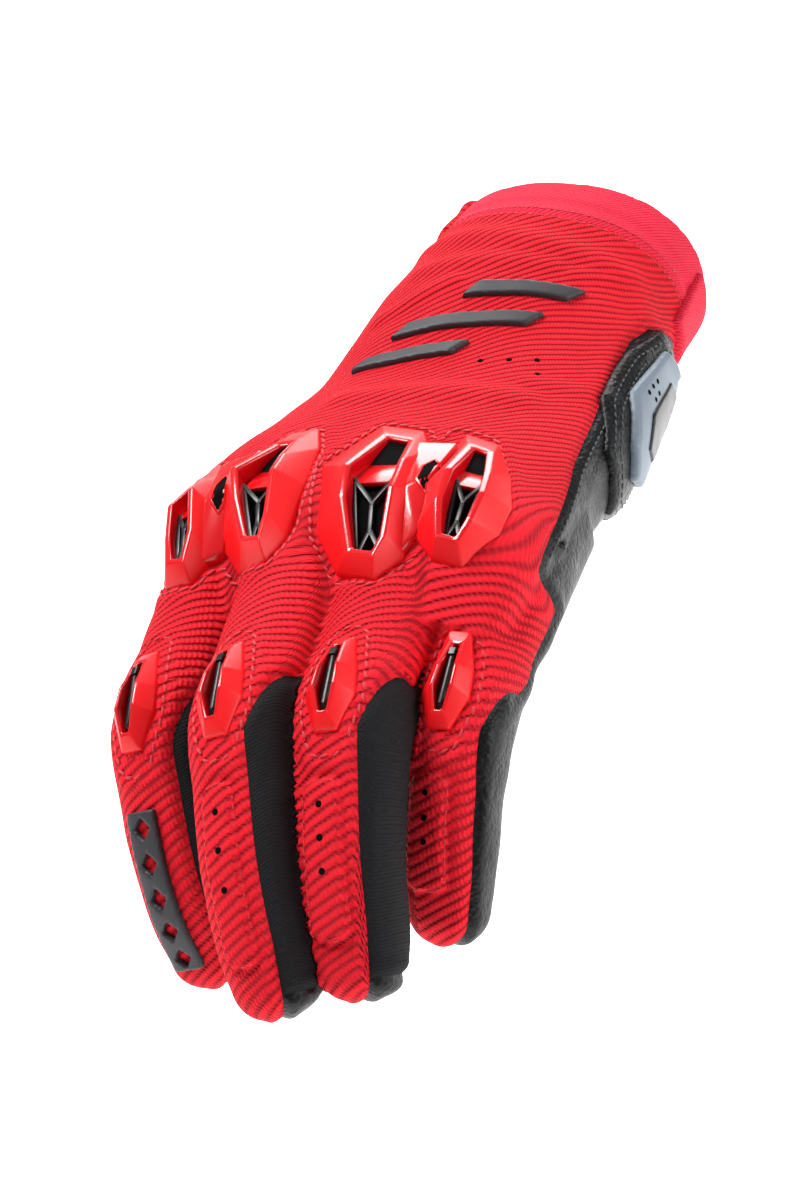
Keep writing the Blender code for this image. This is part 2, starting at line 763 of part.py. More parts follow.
def inset(corners, distance):
    """Outline with every side moved inwards by one distance, in two or three dimensions."""
    corners = np.array(corners, dtype=float)
    flat = corners.shape[1] == 2
    points = np.column_stack([corners, np.zeros(len(corners))]) if flat else corners
    middle = points.mean(axis=0)
    normal = unit(np.cross(points[0] - middle, points[2] - middle))
    after = np.roll(points, -1, axis=0) - points
    inward = np.cross(normal, after)
    inward /= np.linalg.norm(inward, axis=1, keepdims=True)
    inward *= np.sign(np.sum(inward * (middle - points), axis=1, keepdims=True))
    before = np.roll(inward, 1, axis=0)
    shared = 1.0 + np.sum(inward * before, axis=1, keepdims=True)
    moved = points + distance * (inward + before) / shared
    return moved[:, :2] if flat else moved


def hull(name, points):
    """Closed convex solid round the points."""
    work = bmesh.new()
    for point in points:
        work.verts.new(tuple(map(float, point)))
    result = bmesh.ops.convex_hull(work, input=work.verts[:])
    loose = [item for item in result["geom_interior"] if isinstance(item, bmesh.types.BMVert)]
    bmesh.ops.delete(work, geom=loose, context="VERTS")
    thing = make_object(name, [], [])
    work.to_mesh(thing.data)
    work.free()
    return outward(thing)


def window_ring(seat, frame, finger, share, height, narrow):
    """Left and right points of a turret's window at one share of its length."""
    rim = inset(TURRETS[finger][1], GUARD_WALL + narrow)
    left = np.array([rim[0], rim[8], rim[7], rim[6]])
    right = np.array([rim[1], rim[3], rim[4], rim[5]])
    along = rim[:2, 1].mean() * (1.0 - share) + rim[5:7, 1].mean() * share
    ends = []
    for side in (left, right):
        across = np.interp(along, side[:, 1], side[:, 0])
        ends.append(seat.point(frame, across, along, height))
    return ends


def turret(seat, finger):
    """Shell of one turret, its walls running into the cloth, with a scoop in the window."""
    foot, rim = TURRETS[finger]
    frame = seat.frame(finger, 0)
    deep = [-5.0] * 9
    inner = inset(rim, GUARD_WALL)
    rings = (
        seat.ring(frame, foot, deep),
        seat.ring(frame, foot, [0.7] * 9),
        seat.ring(frame, rim, RIM_HEIGHTS),
        seat.ring(frame, inner, RIM_HEIGHTS),
        seat.ring(frame, inner, deep),
    )
    shell = hoop("turret", rings)
    start, end, low, high, thick = FLAP
    up = frame[3]
    points = []
    for share, height in ((start, low), (end, high)):
        for point in window_ring(seat, frame, finger, share, height, -0.5):
            points += [point, point - up * thick]
    flap = hull("flap", points)
    boolean(shell, "UNION", flap)
    discard(flap)
    return shell


def slot_cutter(seat, name):
    """Hexagonal slot through a bridge."""
    finger, across, along, half_length, half_width = SLOTS[name]
    frame = seat.frame(finger, 0)
    outline = (
        (across, along - half_length),
        (across + half_width, along - half_length * 0.5),
        (across + half_width, along + half_length * 0.5),
        (across, along + half_length),
        (across - half_width, along + half_length * 0.5),
        (across - half_width, along - half_length * 0.5),
    )
    return loft("slot", [seat.ring(frame, outline, [height] * 6) for height in (-6.0, 9.0)])


def build_guard(seat, name, first, second):
    """Hard guard over two knuckles."""
    guard = turret(seat, first)
    other = turret(seat, second)
    points = []
    for finger, across, along, height in BRIDGES[name]:
        frame = seat.frame(finger, 0)
        points.append(seat.point(frame, across, along, height))
        points.append(seat.point(frame, across, along, -4.0))
    bridge = hull("bridge", points)
    boolean(guard, "UNION", other, bridge)
    slot = slot_cutter(seat, name)
    boolean(guard, "DIFFERENCE", slot, seat.solid)
    discard(other, bridge, slot)
    finish(largest_part(guard), f"knuckle_guard_{name}", RED_SHELL, smooth=False)


def build_grille(seat, finger):
    """Black grille in a turret's window: two forks joined by a stem, cut from a plate."""
    frame = seat.frame(finger, 0)
    up = frame[3]
    start, end, height, width = GRILLE
    corners = []
    for share in (start, end):
        corners.append(window_ring(seat, frame, finger, share, height, GAP * 1.4))
    (a, b), (d, c) = corners
    upper = (a + b) / 2.0 * 0.66 + (c + d) / 2.0 * 0.34
    lower = (a + b) / 2.0 * 0.30 + (c + d) / 2.0 * 0.70
    rim = np.array([a, b, c, d])
    grille = hull("grille", list(rim) + list(rim - up * 1.5))
    for outline in ((a, b, upper), (c, d, lower), (b, c, lower, upper), (d, a, upper, lower)):
        opening = inset(outline, width / 2.0)
        cutter = loft("opening", [opening + up * 6.0, opening - up * 6.0])
        boolean(grille, "DIFFERENCE", cutter)
        discard(cutter)
    boolean(grille, "DIFFERENCE", seat.solid)
    return largest_part(grille)


def build_slider(seat, finger):
    """Hard slider over a finger's middle joint, and the black insert in its slot."""
    frame = seat.frame(finger, 1)
    frame = (frame[0] - frame[2] * SLIDER_BACK, *frame[1:])
    scale = FINGERS[finger][-1]
    foot = np.array(SLIDER_FOOT) * scale
    rim = np.array(SLIDER_RIM) * scale
    inner = inset(rim, 0.7)
    core = inset(rim, 0.7 + GAP * 1.5)
    rings = (
        seat.ring(frame, foot, [-3.0] * 8),
        seat.ring(frame, foot, [0.8] * 8),
        seat.ring(frame, rim, SLIDER_HEIGHTS),
        seat.ring(frame, inner, SLIDER_HEIGHTS),
        seat.ring(frame, inner, [-3.0] * 8),
    )
    slider = hoop("slider", rings)
    boolean(slider, "DIFFERENCE", seat.solid)
    finish(largest_part(slider), f"finger_slider_{finger}", RED_SHELL, smooth=False)
    tops = [height * 0.55 for height in SLIDER_HEIGHTS]
    insert = loft("insert", [seat.ring(frame, core, [-2.0] * 8), seat.ring(frame, core, tops)])
    square = ((-0.5, -5.6), (0.5, -5.6), (0.5, -3.4), (-0.5, -3.4))
    hole = loft("hole", [seat.ring(frame, square, [-3.0] * 4), seat.ring(frame, square, [6.0] * 4)])
    boolean(insert, "DIFFERENCE", hole, seat.solid)
    discard(hole)
    finish(largest_part(insert), f"slider_insert_{finger}", BLACK_PLASTIC, smooth=False)


def layer(seat, cutter, high, low=GAP):
    """Sheet that follows the cloth between two heights, inside the cutter."""
    sheet = hand_solid("layer", high, True, True)
    boolean(sheet, "INTERSECT", cutter)
    floor = seat.solid if low == GAP else hand_solid("floor", low, True, True)
    boolean(sheet, "DIFFERENCE", floor)
    if floor is not seat.solid:
        discard(floor)
    return largest_part(sheet)


def build_back_bars(seat):
    """Slanted rubber bars on the back of the hand."""
    for number, (x, y, length, width, slant) in enumerate(BACK_BARS, 1):
        turn = rotation("z", slant)
        half, side = length / 2.0, width / 2.0
        outline = ((-half, -side), (half - width, -side), (half, side), (width - half, side))
        rings = []
        for z in (5.0, 60.0):
            flat = np.array([(a, b, 0.0) for a, b in outline])
            rings.append(flat @ turn.T + np.array([x, y, z]) - ORIGIN)
        cutter = loft("bar", rings)
        piece = layer(seat, cutter, GAP + RUBBER_RISE)
        discard(cutter)
        finish(piece, f"back_bar_{number}", RUBBER)


def build_index_strip(seat):
    """Rubber strip along the index finger, with a row of lozenges cut through it."""
    path = finger_path("index")
    start, end = path.stations[1] + 18.0, path.total - 7.0
    outline = ((-4.2, 2.0), (3.4, 2.0), (3.4, 20.0), (-4.2, 20.0))
    cutter = finger_slab(path, start, end, lambda _: outline)
    strip = layer(seat, cutter, GAP + RUBBER_RISE)
    pitch = (end - start) / STRIP_WINDOWS
    holes = []
    for number in range(STRIP_WINDOWS):
        middle = start + pitch * (number + 0.5)
        corners = ((0.0, -0.36), (2.2, 0.0), (0.0, 0.36), (-2.2, 0.0))
        rings = []
        for height in (2.0, 20.0):
            points = []
            for across, share in corners:
                centre, side, _, up = path.frame(middle + share * pitch)
                points.append(centre + side * (across - 0.4) + up * height)
            rings.append(np.array(points))
        holes.append(loft("lozenge", rings))
    boolean(strip, "DIFFERENCE", *holes)
    discard(cutter, *holes)
    finish(strip, "index_strip", RUBBER)


def side_prism(outline, name="prism"):
    """Prism that runs out of the little finger side of the hand."""
    rings = []
    for x in (12.0, 75.0):
        rings.append(np.array([(x, y, z) for y, z in outline]) - ORIGIN)
    return loft(name, rings)


def build_heel(seat):
    """Leather patch, grey slider and its insert on the side of the palm."""
    patch_top = GAP + PAD_RISE
    prism = side_prism(HEEL_PATCH)
    patch = layer(seat, prism, patch_top)
    finish(patch, "heel_patch", BLACK_LEATHER)
    discard(prism)
    slider_low, slider_top = patch_top + GAP, patch_top + 2.8
    wide = side_prism(PALM_SLIDER)
    slider = layer(seat, wide, slider_top - 1.0, slider_low)
    small = side_prism(inset(PALM_SLIDER, 1.6))
    crown = layer(seat, small, slider_top, slider_low + 0.4)
    boolean(slider, "UNION", crown)
    discard(wide, small, crown)
    finish(slider, "palm_slider", GREY_RUBBER)
    tight = side_prism(PALM_INSERT)
    insert = layer(seat, tight, slider_top + 1.3, slider_top + GAP)
    discard(tight)
    finish(insert, "palm_slider_insert", BLACK_PLASTIC)


def build_cuff_parts(seat):
    """Closing strap round the palm side of the wrist and the small tab on the cuff."""
    wrap = ((-24.0, -60.0), (60.0, -60.0), (60.0, 4.0), (20.0, 4.0), (-24.0, -10.0))
    cutter = body_slab("strap", ((57.5, wrap), (38.5, wrap)))
    strap = layer(seat, cutter, GAP + 2.0)
    discard(cutter)
    finish(strap, "wrist_strap", RED_BAND)
    side = ((-60.0, 6.0), (-20.0, 6.0), (-20.0, 15.0), (-60.0, 15.0))
    cutter = body_slab("tab", ((64.0, side), (50.0, side)))
    tab = layer(seat, cutter, GAP + 1.4)
    discard(cutter)
    finish(tab, "pull_tab", RED_CLOTH)


def main():
    """Build every piece."""
    for thing in list(bpy.data.objects):
        bpy.data.objects.remove(thing, do_unlink=True)
    back, palm = build_cloth()
    finish(largest_part(back), "back_panel", RED_CLOTH)
    finish(largest_part(palm), "palm_panel", BLACK_LEATHER)
    seat = Seat()
    for name, first, second in GUARDS:
        build_guard(seat, name, first, second)
    for finger in FINGERS:
        finish(build_grille(seat, finger), f"knuckle_grille_{finger}", BLACK_PLASTIC, smooth=False)
        build_slider(seat, finger)
    build_back_bars(seat)
    build_index_strip(seat)
    build_heel(seat)
    build_cuff_parts(seat)
    discard(seat.solid)
    bpy.data.collections.remove(collection(CUTTERS_NAME))


main()
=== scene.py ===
"""Looks of a motorcycle glove for the left hand, filled as if worn.

The frame is the construction model's: +Z is the back of the hand, the fingers point to -Y, the thumb
side is -X, and the origin is the centre of the cuff opening. Shapes are worked out in millimetres and
written in metres. One smooth skin of the whole hand is made first; every panel of cloth or leather and
every pad is a region of that skin with its own thickness, and the hard guards are seated on it.
"""
import math

import bmesh
import bpy
import numpy as np
from mathutils import Matrix, Vector, noise
from mathutils.bvhtree import BVHTree


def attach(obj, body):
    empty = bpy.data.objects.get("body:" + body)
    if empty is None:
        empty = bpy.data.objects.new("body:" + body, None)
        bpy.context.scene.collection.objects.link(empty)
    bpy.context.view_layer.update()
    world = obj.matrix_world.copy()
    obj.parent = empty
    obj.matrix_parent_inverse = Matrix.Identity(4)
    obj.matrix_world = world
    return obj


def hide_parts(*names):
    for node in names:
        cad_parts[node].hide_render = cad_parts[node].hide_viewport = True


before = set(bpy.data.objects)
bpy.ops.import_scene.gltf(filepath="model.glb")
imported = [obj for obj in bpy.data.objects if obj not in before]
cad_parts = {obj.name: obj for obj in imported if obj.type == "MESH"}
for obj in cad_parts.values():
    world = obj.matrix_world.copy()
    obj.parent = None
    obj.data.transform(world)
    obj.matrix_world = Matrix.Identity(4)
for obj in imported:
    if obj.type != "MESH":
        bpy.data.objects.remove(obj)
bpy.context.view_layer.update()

bl_info = {
    "name": "Motorcycle glove looks",
    "version": (1, 0, 0),
    "blender": (4, 5, 0),
    "location": "View3D > Sidebar > Glove",
    "description": "Gives a glove's construction model its cloth, leather, guards and stitches",
    "category": "Object",
}

MM = 0.001
ROOT = "root"

# Sizes of the hand form, the same as the construction model's, in millimetres
WALL = 1.9
ORIGIN = np.array([0.2, 60.7, 9.7])
BAND_LINE = 46.0
WRAP_LINE = 35.0
SEAM_DEPTH = -1.6
SEAM_TURN = (10.0, 16.0)
ROOT_EDGE = 12.6
FINGER_POWER = 2.3
THUMB_LINE = 38.0

# Hand body: y, centre x, centre z, half width, rise, drop, roll, pitch, power
BODY = (
    (60.7, 0.2, 9.7, 34.5, 27.0, 27.0, 3.0, 11.4, 2.2),
    (40.0, -0.8, 7.8, 34.8, 26.0, 26.0, 9.5, 11.0, 2.2),
    (20.0, -1.3, 5.1, 38.0, 24.0, 25.0, 10.0, 9.0, 2.2),
    (2.0, -1.0, 2.1, 40.0, 22.0, 24.0, 7.0, 6.0, 2.2),
    (-16.0, -0.8, 0.0, 42.0, 20.5, 25.0, 3.0, 3.0, 2.3),
    (-34.0, -2.4, 0.3, 44.0, 19.5, 25.0, 1.6, 1.0, 2.4),
    (-52.0, -4.1, 1.0, 46.4, 18.5, 24.0, 1.2, 0.0, 2.5),
    (-68.0, -4.1, 1.0, 47.2, 17.5, 21.0, -0.9, -2.0, 2.5),
    (-82.0, -2.6, -0.5, 45.8, 15.5, 17.5, -1.8, -4.0, 2.5),
    (-93.0, -1.0, -4.0, 42.5, 12.0, 14.0, -3.0, -6.0, 2.5),
    (-100.0, -0.8, -5.5, 39.5, 8.0, 10.0, -3.0, -6.0, 2.5),
)

# Folds of the body: from x, y, to x, y, height, half width, +1 back or -1 palm
FOLDS = (
    (-20.0, -33.0, 22.0, -26.0, 1.1, 7.0, 1),
    (-30.0, 36.0, 24.0, 33.0, 0.9, 6.0, 1),
    (-26.0, 22.0, 8.0, 27.0, 0.7, 5.0, 1),
    (26.0, 34.0, 36.0, 22.0, 0.9, 6.0, 1),
    (-30.0, 5.0, -14.0, 16.0, 0.8, 4.0, 1),
    (14.0, 26.0, 30.0, 33.0, 0.6, 4.0, 1),
    (20.0, -18.0, 36.0, -12.0, 0.6, 5.0, 1),
    (40.0, -44.0, 48.0, -52.0, 1.1, 4.5, -1),
    (38.0, -56.0, 47.0, -64.0, 1.1, 4.5, -1),
    (-34.0, -8.0, 30.0, -2.0, 1.1, 6.0, -1),
    (-20.0, -50.0, 34.0, -62.0, 1.1, 7.0, -1),
    (-10.0, -30.0, -26.0, -64.0, 1.1, 6.0, -1),
)

# Fingers: knuckle x, y, z, knuckle flex, middle joint flex, spread, twist, bones 1, 2, 3, scale
FINGERS = {
    "index": (-34.0, -80.0, -4.5, 14.4, 39.0, 1.8, -17.4, 45.0, 28.0, 30.5, 1.00),
    "middle": (-11.0, -84.0, 0.3, 7.7, 32.4, 8.1, -16.3, 48.0, 30.0, 33.0, 1.00),
    "ring": (12.0, -80.0, -1.2, 7.6, 31.7, 7.7, -9.3, 45.0, 28.0, 31.0, 1.00),
    "pinky": (33.0, -71.0, -7.5, 12.5, 30.9, 3.2, -1.7, 37.0, 22.0, 27.0, 0.95),
}
PAIRS = (("index", "middle"), ("middle", "ring"), ("ring", "pinky"))
# Finger sections: joint, distance past it, half width, rise, drop
FINGER_ROWS = (
    (0, -24.0, 12.0, 11.5, 12.0),
    (0, -8.0, 12.2, 13.5, 13.0),
    (0, 8.0, 12.0, 13.0, 13.0),
    (0, 24.0, 11.8, 11.8, 12.0),
    (1, -14.0, 11.6, 11.2, 11.2),
    (1, -5.0, 11.9, 11.8, 10.8),
    (1, 4.0, 12.0, 12.0, 10.4),
    (1, 13.0, 11.4, 11.0, 10.6),
    (2, -6.0, 11.0, 10.3, 10.3),
    (2, 4.0, 10.8, 10.0, 9.8),
    (3, -14.0, 10.2, 9.2, 9.4),
    (3, -8.0, 9.2, 8.0, 8.6),
)
TIP = 8.0             # length of the rounded end of a finger
# Edge of the back panel on a finger: left, right, height of the right one
FINGER_SEAM = {
    "index": (-13.2, 8.6, 6.8),
    "middle": (-11.2, 6.0, 8.2),
    "ring": (-11.2, 6.4, 8.2),
    "pinky": (-11.4, 8.0, 6.2),
}
# Edge of the back panel on the body: y, left z, right z
BODY_SEAM = (
    (WRAP_LINE + 2.5, -60.0, -60.0),
    (WRAP_LINE, -6.0, 3.0),
    (30.0, -3.0, 9.5),
    (24.0, -2.0, 14.0),
    (15.0, -2.0, 16.2),
    (4.0, -2.0, 15.9),
    (-13.5, -2.0, 14.6),
    (-41.0, -2.0, 10.8),
    (-62.0, -2.0, 5.6),
    (-72.0, -2.0, 3.3),
    (-83.0, -2.0, -1.0),
    (-104.0, -2.0, -2.0),
)
THUMB_JOINTS = (
    (-12.0, -20.0, -6.0),
    (-29.0, -46.0, -29.0),
    (-24.0, -76.0, -44.0),
    (-6.0, -104.0, -52.0),
)
THUMB_SIDE = (0.75, 0.35, -0.5)
# Thumb sections: distance, from the tip where below zero, half width, half height
THUMB_ROWS = (
    (0.0, 16.0, 13.0),
    (18.0, 17.0, 14.0),
    (34.0, 15.0, 13.0),
    (50.0, 12.5, 12.0),
    (64.0, 12.5, 11.5),
    (78.0, 12.0, 11.0),
    (-12.0, 11.0, 9.5),
)

# Knuckle guards: turret corners as across, along, for the foot and then the window's rim
RIM_HEIGHTS = (2.2, 2.2, 5.0, 6.8, 6.2, 5.0, 5.0, 6.2, 6.4)
TURRETS = {
    "index": (
        ((-8.6, -22.0), (-2.0, -24.0), (4.0, -16.0), (6.2, -4.0), (6.4, 8.0), (3.6, 14.9), (-4.4, 14.0),
         (-8.8, 8.0), (-10.6, -4.0)),
        ((-6.2, -18.0), (-2.2, -17.6), (0.6, -12.0), (2.0, -6.6), (3.8, 4.0), (3.6, 12.6), (-1.6, 12.2),
         (-4.4, 4.0), (-5.8, -4.6)),
    ),
    "middle": (
        ((-4.4, -35.0), (1.6, -36.5), (4.6, -27.0), (4.8, -13.0), (3.4, 3.0), (0.6, 10.6), (-10.0, 6.7),
         (-15.0, -1.0), (-17.0, -12.0)),
        ((-5.8, -29.0), (-1.0, -29.5), (0.2, -20.0), (0.6, -12.5), (1.2, 0.0), (0.8, 8.4), (-5.6, 5.2),
         (-9.0, -6.0), (-11.2, -15.5)),
    ),
    "ring": (
        ((-8.0, -35.5), (2.5, -33.0), (6.4, -24.0), (8.0, -8.0), (6.8, 8.0), (1.5, 15.5), (-9.0, 10.6),
         (-14.6, 1.6), (-17.6, -19.0)),
        ((-5.4, -29.5), (2.2, -27.5), (4.8, -14.0), (5.4, -3.0), (4.6, 8.0), (2.6, 13.2), (-4.8, 10.0),
         (-7.4, -2.0), (-8.2, -11.0)),
    ),
    "pinky": (
        ((-14.0, -27.5), (-5.8, -25.5), (0.4, -14.0), (3.8, -4.0), (3.8, 5.0), (-1.8, 14.5), (-8.8, 14.0),
         (-14.6, 8.6), (-18.0, -1.0)),
        ((-11.2, -22.0), (-5.4, -20.6), (-1.2, -8.6), (0.8, 0.0), (0.0, 8.0), (-2.4, 12.9), (-7.6, 12.2),
         (-9.2, 4.0), (-9.8, -5.8)),
    ),
}
GUARDS = (("inner", "index", "middle"), ("outer", "ring", "pinky"))
# Bridges between the turrets: finger, across, along, height
BRIDGES = {
    "inner": (
        ("middle", -8.5, -27.0, 2.6),
        ("index", 2.0, -19.0, 2.6),
        ("index", 4.5, -4.0, 4.2),
        ("index", 5.0, 9.5, 2.0),
        ("middle", -13.5, 1.0, 2.0),
        ("middle", -13.0, -12.0, 4.2),
    ),
    "outer": (
        ("ring", 4.0, -25.5, 2.6),
        ("pinky", -13.4, -21.0, 2.6),
        ("pinky", -13.6, -5.0, 4.2),
        ("pinky", -13.0, 8.6, 2.0),
        ("ring", 6.0, 8.0, 2.0),
        ("ring", 6.2, -6.0, 4.2),
    ),
}
# Slots in the bridges: finger, across, along, half length, half width
SLOTS = {"inner": ("middle", -14.6, -12.0, 5.2, 1.5), "outer": ("ring", 10.4, -11.0, 5.2, 1.6)}
GUARD_WALL = 1.5
SLIDER_WALL = 0.8

# Finger sliders: corners as across, along, then the rim's heights
SLIDER_FOOT = (
    (-2.4, -12.4), (2.4, -12.4), (5.0, -3.0), (5.6, 3.4),
    (2.6, 11.4), (-2.6, 11.4), (-5.6, 3.4), (-5.0, -3.0),
)
SLIDER_RIM = (
    (-1.4, -9.8), (1.4, -9.8), (2.5, -2.6), (2.8, 2.6),
    (1.5, 8.8), (-1.5, 8.8), (-2.8, 2.6), (-2.5, -2.6),
)
SLIDER_BACK = 1.8
SLIDER_HEIGHTS = (2.2, 2.2, 3.7, 3.9, 2.6, 2.6, 3.9, 3.7)

# Rubber bars: centre x, y, length, width, slant
BACK_BARS = (
    (-13.0, -14.0, 30.0, 4.4, 14.0),
    (-3.0, -1.0, 38.0, 4.4, 14.0),
    (7.0, 12.0, 30.0, 4.4, 14.0),
)
STRIP_WINDOWS = 5
# Outlines on the little finger's side of the hand: y, z
HEEL_PATCH = (
    (29.0, 1.0), (24.0, 9.5), (8.0, 12.0), (-14.0, 11.0), (-28.0, 5.0),
    (-31.0, -10.0), (-22.0, -17.0), (14.0, -17.0), (27.0, -9.0),
)
PALM_SLIDER = (
    (25.0, -3.0), (19.0, 6.5), (-6.0, 7.5), (-18.0, 1.0),
    (-21.0, -6.0), (-13.0, -12.0), (12.0, -12.0), (22.0, -9.0),
)
PALM_INSERT = ((20.0, -5.0), (14.0, 1.0), (-4.0, 1.5), (-12.0, -3.0), (-8.0, -8.0), (10.0, -8.5))
SLIDER_DOTS = ((6.0, 4.6), (2.6, 4.8), (-0.8, 4.8), (4.3, 2.6), (0.9, 2.6))

# Raised panels on the fingers: start past the middle joint, end before the tip, centre, half width
FINGER_PANELS = {
    "middle": (15.5, 12.0, -1.2, 4.0),
    "ring": (15.5, 13.0, -1.2, 4.6),
    "pinky": (14.0, 12.0, -1.6, 4.6),
}
PANEL_HOLES = (0.16, 0.36, 0.56)   # shares of a panel's length
BACK_HOLES = ((18.5, -10.0), (12.5, -12.5), (6.0, -14.5), (20.5, -15.0))

# Camera, fitted to the photograph's outline
CAMERA_TARGET = (-0.2, -150.7, -9.7)
CAMERA_AZIMUTH = 32.4
CAMERA_ELEVATION = 29.25
CAMERA_ROLL = -12.58
CAMERA_DISTANCE = 541.0
FOCAL_PIXELS = 2461.5
FRAME_SIZE = (801, 1200)
TARGET_PIXEL = (336.6, 597.3)
SENSOR = 36.0

# Lights: name, right, up, towards the camera, size, setting of its power
LIGHTS = (
    ("key", -0.75, 1.15, 0.25, 0.55, "key_power"),
    ("fill", 1.3, 0.55, 0.7, 0.9, "fill_power"),
    ("top", 0.1, 1.5, -0.9, 0.9, "top_power"),
)

# Pads: piece, value, base, height, edge radius, share of the height at the edge, colour, slot, replaced node
PADS = (
    ("heel_leather", "heel", 0.1, 1.6, 3.4, 0.25, "leather", "black_leather", "heel_patch"),
    ("palm_slider_body", "pad", 1.7, 2.0, 1.6, 0.25, "grey", "grey_plastic", "palm_slider"),
    ("palm_slider_core", "insert", 3.3, 1.0, 0.7, 0.5, "black", "black_plastic", "palm_slider_insert"),
    ("bar_1", "bar_1", 0.0, 1.5, 0.7, 0.45, "rubber", "dark_rubber", "back_bar_1"),
    ("bar_2", "bar_2", 0.0, 1.5, 0.7, 0.45, "rubber", "dark_rubber", "back_bar_2"),
    ("bar_3", "bar_3", 0.0, 1.5, 0.7, 0.45, "rubber", "dark_rubber", "back_bar_3"),
    ("strip", "strip", 0.0, 1.4, 0.6, 0.45, "rubber", "dark_rubber", "index_strip"),
    ("strap", "strap", 0.2, 2.0, 1.4, 0.3, "band", "red_elastic", "wrist_strap"),
    ("tab", "tab", 0.2, 1.4, 0.8, 0.3, "cloth", "red_cloth", "pull_tab"),
)
PAD_SINK = 0.25       # depth of a pad's lower face in the cloth

# Stitches: length, width, rise, slant in degrees
GUARD_THREAD = (2.5, 0.75, 0.6, 14.0)
SLIDER_THREAD = (2.1, 0.65, 0.5, 14.0)
PANEL_THREAD = (1.5, 0.5, 0.4, 0.0)
LEATHER_THREAD = (1.8, 0.5, 0.4, 0.0)
BAND_THREAD = (1.5, 0.45, 0.35, 0.0)

# Roll of cloth beside a hard piece: height, distance, spread
GUARD_ROLL = (0.5, 3.0, 1.6)
SLIDER_ROLL = (0.4, 2.8, 1.2)

# Shared sizes, in millimetres
OUTSIDE = -30.0       # a value where its piece can't lie
OFF_PANEL = -9.0      # a panel's value on other limbs
CUFF_LEVEL = 20.0     # the cuff's pieces lie above this y
RAY_START = 45.0      # height that rays fall from
PATH_STEP = 0.5
JOINT_RADIUS = 11.0
SEAM_VALLEY = 0.55
SEAM_ROLL = 0.25
SEAM_SPAN = (-6.0, 16.0)      # x between which the body's two edges blend
SEAM_REACH = (69.0, 59.0)
SEAM_CLEAR = 3.0
FOURCHETTE_STARTS = (12.4, 13.1)     # past the knuckle, on the first and second finger of a pair
FOURCHETTE_EDGES = (3.0, 7.0, 5.0)   # from the middle of the finger, below it, and from the tip
STRIP_ENDS = (18.0, 7.0)             # past the middle joint, before the tip
PANEL_CORNER = 2.5
STRAP_SECTION = ((-24.0, -60.0), (60.0, -60.0), (60.0, 4.0), (20.0, 4.0), (-24.0, -10.0))
GUARD_FOOT = (-1.2, 0.9)             # heights of a turret's lower and upper foot
SLIDER_EDGE = (-0.8, 1.0)            # the same of a finger slider
FLAP_ENDS = ((0.24, 0.8), (0.50, 3.2))     # share of the window's length, height


# Vector helpers

def unit(vectors):
    """Vectors at length one."""
    vectors = np.asarray(vectors, float)
    length = np.linalg.norm(vectors, axis=-1, keepdims=True)
    return vectors / np.maximum(length, 1e-12)


def smooth_table(keys, values, at):
    """Rows of a table read on a smooth curve through them, at any key."""
    keys = np.asarray(keys, float)
    values = np.asarray(values, float)
    slopes = np.gradient(values, keys, axis=0)
    at = np.clip(at, keys[0], keys[-1])
    row = np.clip(np.searchsorted(keys, at) - 1, 0, len(keys) - 2)
    span = (keys[row + 1] - keys[row])[:, None]
    t = (at - keys[row])[:, None] / span
    before = (1 + 2 * t) * (1 - t) ** 2 * values[row] + t * (1 - t) ** 2 * span * slopes[row]
    after = t * t * (3 - 2 * t) * values[row + 1] + t * t * (t - 1) * span * slopes[row + 1]
    return before + after


def smooth_step(t):
    """0 to 1 with soft ends."""
    t = np.clip(t, 0.0, 1.0)
    return t * t * (3.0 - 2.0 * t)


def superellipse(half_width, rise, drop, power, count):
    """Rings of points, one for each row of sizes: x across and z up."""
    angles = np.linspace(0.0, 2.0 * math.pi, count, endpoint=False)[None, :]
    cos, sin = np.cos(angles), np.sin(angles)
    share = 2.0 / np.asarray(power, float)[:, None]
    height = np.where(sin > 0.0, np.asarray(rise)[:, None], np.asarray(drop)[:, None])
    across = np.asarray(half_width)[:, None] * np.sign(cos) * np.abs(cos) ** share
    return across, height * np.sign(sin) * np.abs(sin) ** share


def polygon_distance(points, corners):
    """Distance inside a closed outline, below zero outside it."""
    corners = np.asarray(corners, float)
    after = np.roll(corners, -1, axis=0)
    nearest = np.full(len(points), 1e9)
    inside = np.zeros(len(points), bool)
    for (ax, ay), (bx, by) in zip(corners, after):
        run = np.array([bx - ax, by - ay])
        offset = points - (ax, ay)
        share = np.clip(offset @ run / (run @ run), 0.0, 1.0)
        nearest = np.minimum(nearest, np.linalg.norm(offset - share[:, None] * run, axis=1))
        crosses = (ay > points[:, 1]) != (by > points[:, 1])
        slope = run[0] / run[1] if run[1] else 0.0
        inside ^= crosses & (points[:, 0] < ax + (points[:, 1] - ay) * slope)
    return np.where(inside, nearest, -nearest)


# Hand form

def body_frames(at):
    """Centre, across, along and up directions and sizes of the body's sections."""
    table = np.array(BODY)
    rows = smooth_table(-table[:, 0], table[:, 1:], -at)
    roll, pitch = np.radians(rows[:, 5]), np.radians(rows[:, 6])
    level = np.clip(at, table[-1, 0], table[0, 0])
    centre = np.stack([rows[:, 0], level, rows[:, 1]], 1) - ORIGIN
    zero = np.zeros(len(rows))
    across = np.stack([np.cos(roll), np.sin(pitch) * np.sin(roll), -np.cos(pitch) * np.sin(roll)], 1)
    along = np.stack([zero, np.cos(pitch), np.sin(pitch)], 1)
    up = np.stack([np.sin(roll), -np.sin(pitch) * np.cos(roll), np.cos(pitch) * np.cos(roll)], 1)
    return centre + along * (at - level)[:, None], across, along, up, rows


